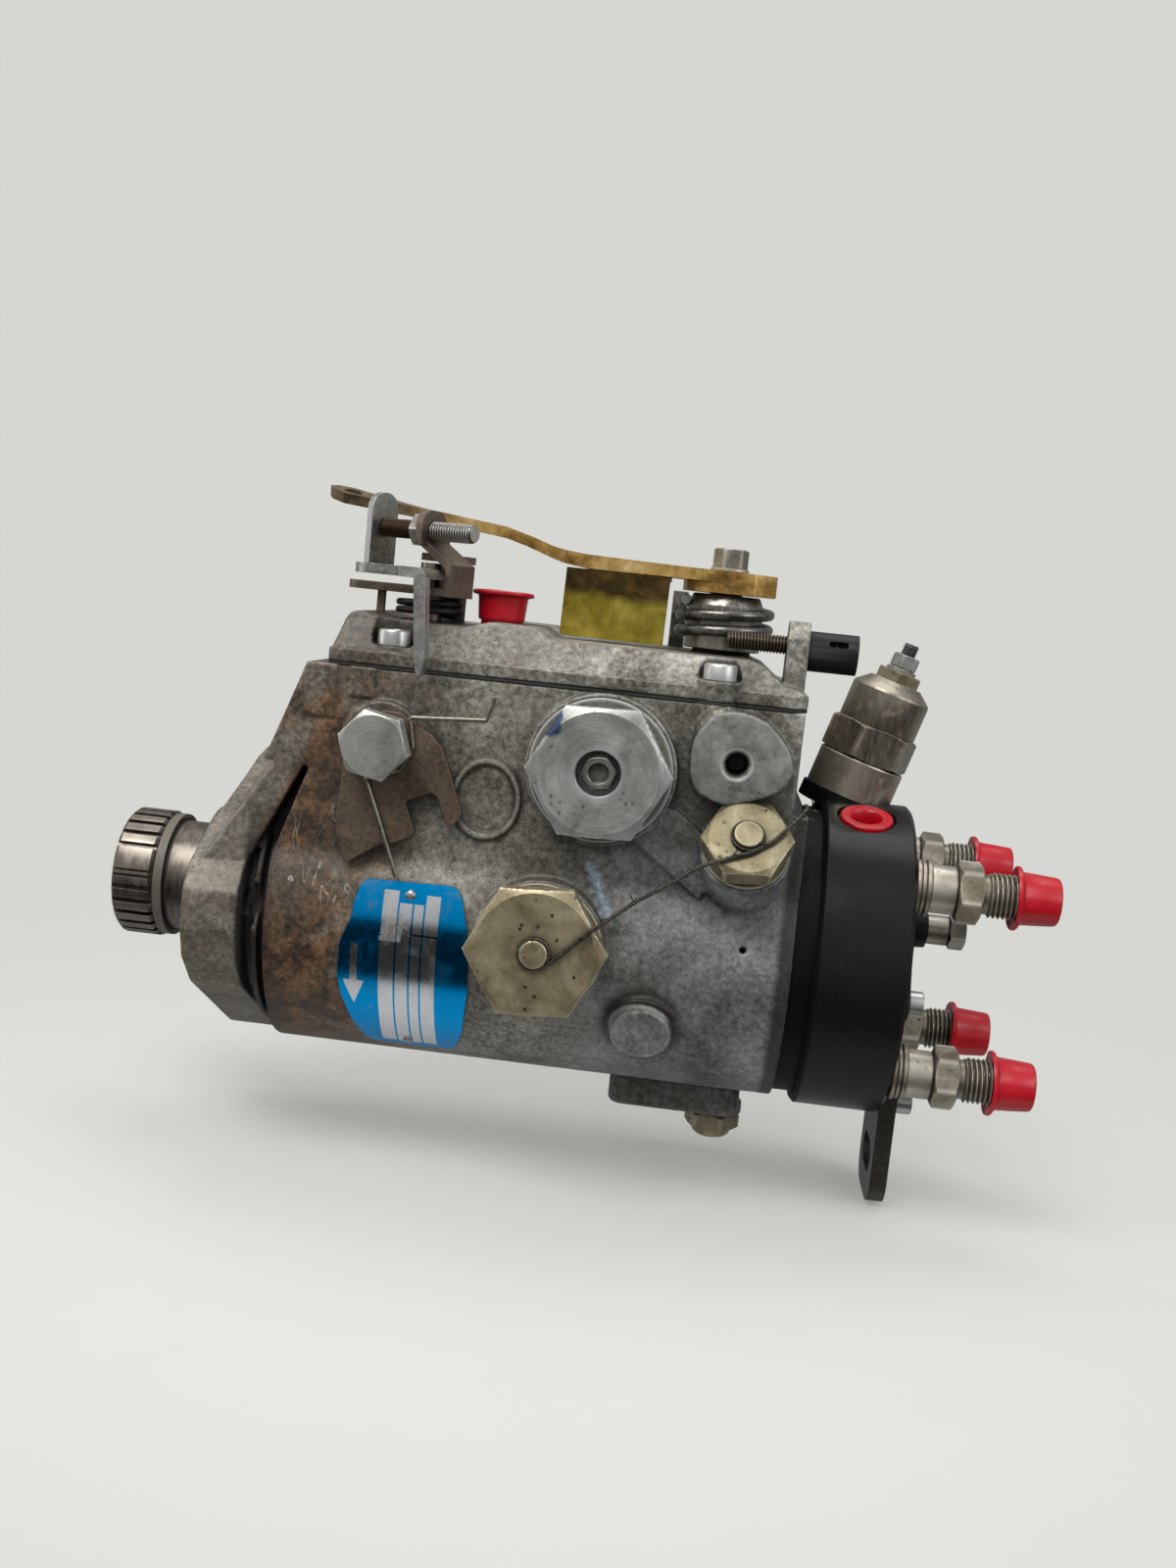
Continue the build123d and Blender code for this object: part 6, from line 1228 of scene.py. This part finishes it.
def area(name, loc, look, size, power, color=(1, 1, 1)):
    d = bpy.data.lights.new(name, 'AREA')
    d.shape = 'RECTANGLE'
    d.size, d.size_y = size[0] * MM, size[1] * MM
    d.energy = power
    d.color = color
    ob = bpy.data.objects.new(name, d)
    bpy.context.scene.collection.objects.link(ob)
    ob.location = Vector(loc) * MM
    ob.rotation_mode = 'QUATERNION'
    ob.rotation_quaternion = (Vector(look) - Vector(loc)).to_track_quat('-Z', 'Y')
    return ob


area("window", (-160, -520, 760), (110, 0, 30), (620, 380), 6.2, (1.0, 0.985, 0.96))
area("side", (760, -380, 380), (130, 0, 20), (420, 420), 1.5, (0.93, 0.965, 1.0))
area("behind", (150, 240, 900), (120, 60, 0), (900, 420), 3.2, (1.0, 1.0, 1.0))
area("left", (-720, -60, 260), (60, 0, 20), (320, 520), 0.9, (1.0, 0.99, 0.97))

# a room for the metal to mirror: light ceiling, dark band at eye height in front, paler behind
w = bpy.data.worlds.new("world")
bpy.context.scene.world = w
w.use_nodes = True
T = w.node_tree
for n in list(T.nodes):
    T.nodes.remove(n)


def wn(kind, ins=None, out=0, **kw):
    n = T.nodes.new(kind)
    for a, b in kw.items():
        setattr(n, a, b)
    for k, v in (ins or {}).items():
        if isinstance(v, bpy.types.NodeSocket):
            T.links.new(v, n.inputs[k])
        else:
            n.inputs[k].default_value = v
    return n.outputs[out]


tc = wn("ShaderNodeTexCoord")
sx = T.nodes.new("ShaderNodeSeparateXYZ")
T.links.new(tc, sx.inputs[0])
up = wn("ShaderNodeMapRange", {0: sx.outputs[2], 1: -1.0, 2: 1.0})
rp = T.nodes.new("ShaderNodeValToRGB")
for i, (p, c) in enumerate(((0.065, 0.74), (0.095, 0.60), (0.125, 0.035), (0.450, 0.030), (0.478, 0.62), (0.55, 0.60), (0.62, 0.32), (0.78, 0.26), (1.0, 0.90))):
    if i > 1:
        rp.color_ramp.elements.new(0.5)
    e = rp.color_ramp.elements[i]
    e.position = p
    e.color = (c, c * 1.005, c * 1.01, 1)
T.links.new(up, rp.inputs[0])
back = wn("ShaderNodeMapRange", {0: sx.outputs[1], 1: -0.15, 2: 0.55})
mx = T.nodes.new("ShaderNodeMix")
mx.data_type = 'RGBA'
T.links.new(back, mx.inputs[0])
T.links.new(rp.outputs[0], mx.inputs[6])
mx.inputs[7].default_value = (0.42, 0.425, 0.43, 1)
room = wn("ShaderNodeBackground", {0: mx.outputs[2], 1: 0.68})
seen = wn("ShaderNodeBackground", {0: (0.675, 0.675, 0.645, 1), 1: 1.0})
lp = wn("ShaderNodeLightPath")
ms = T.nodes.new("ShaderNodeMixShader")
T.links.new(lp, ms.inputs[0])
T.links.new(room, ms.inputs[1])
T.links.new(seen, ms.inputs[2])
wo = T.nodes.new("ShaderNodeOutputWorld")
T.links.new(ms.outputs[0], wo.inputs[0])

cam = bpy.data.cameras.new("camera")
cam.sensor_fit = 'VERTICAL'
cam.sensor_height = 36.0
cam.sensor_width = 36.0
cam.lens = 1577.5 * 36.0 / 1600.0
cam.clip_start, cam.clip_end = 0.02, 20
co = bpy.data.objects.new("camera", cam)
bpy.context.scene.collection.objects.link(co)
F = Vector((-0.07304, 0.98986, -0.12187)).normalized()
Rr = Vector((0.99729, 0.07359, 0.0))
Rr = (Rr - F * F.dot(Rr)).normalized()
Uu = Rr.cross(F)
roll = math.radians(5.86)
R2 = Rr * math.cos(roll) + Uu * math.sin(roll)
U2 = -Rr * math.sin(roll) + Uu * math.cos(roll)
C = Vector((117, 0, 46)) - F * 509.3
M = Matrix(((R2.x, U2.x, -F.x, C.x * MM), (R2.y, U2.y, -F.y, C.y * MM), (R2.z, U2.z, -F.z, C.z * MM), (0, 0, 0, 1)))
co.matrix_world = M
bpy.context.scene.camera = co
bpy.context.scene.view_settings.view_transform = 'Standard'
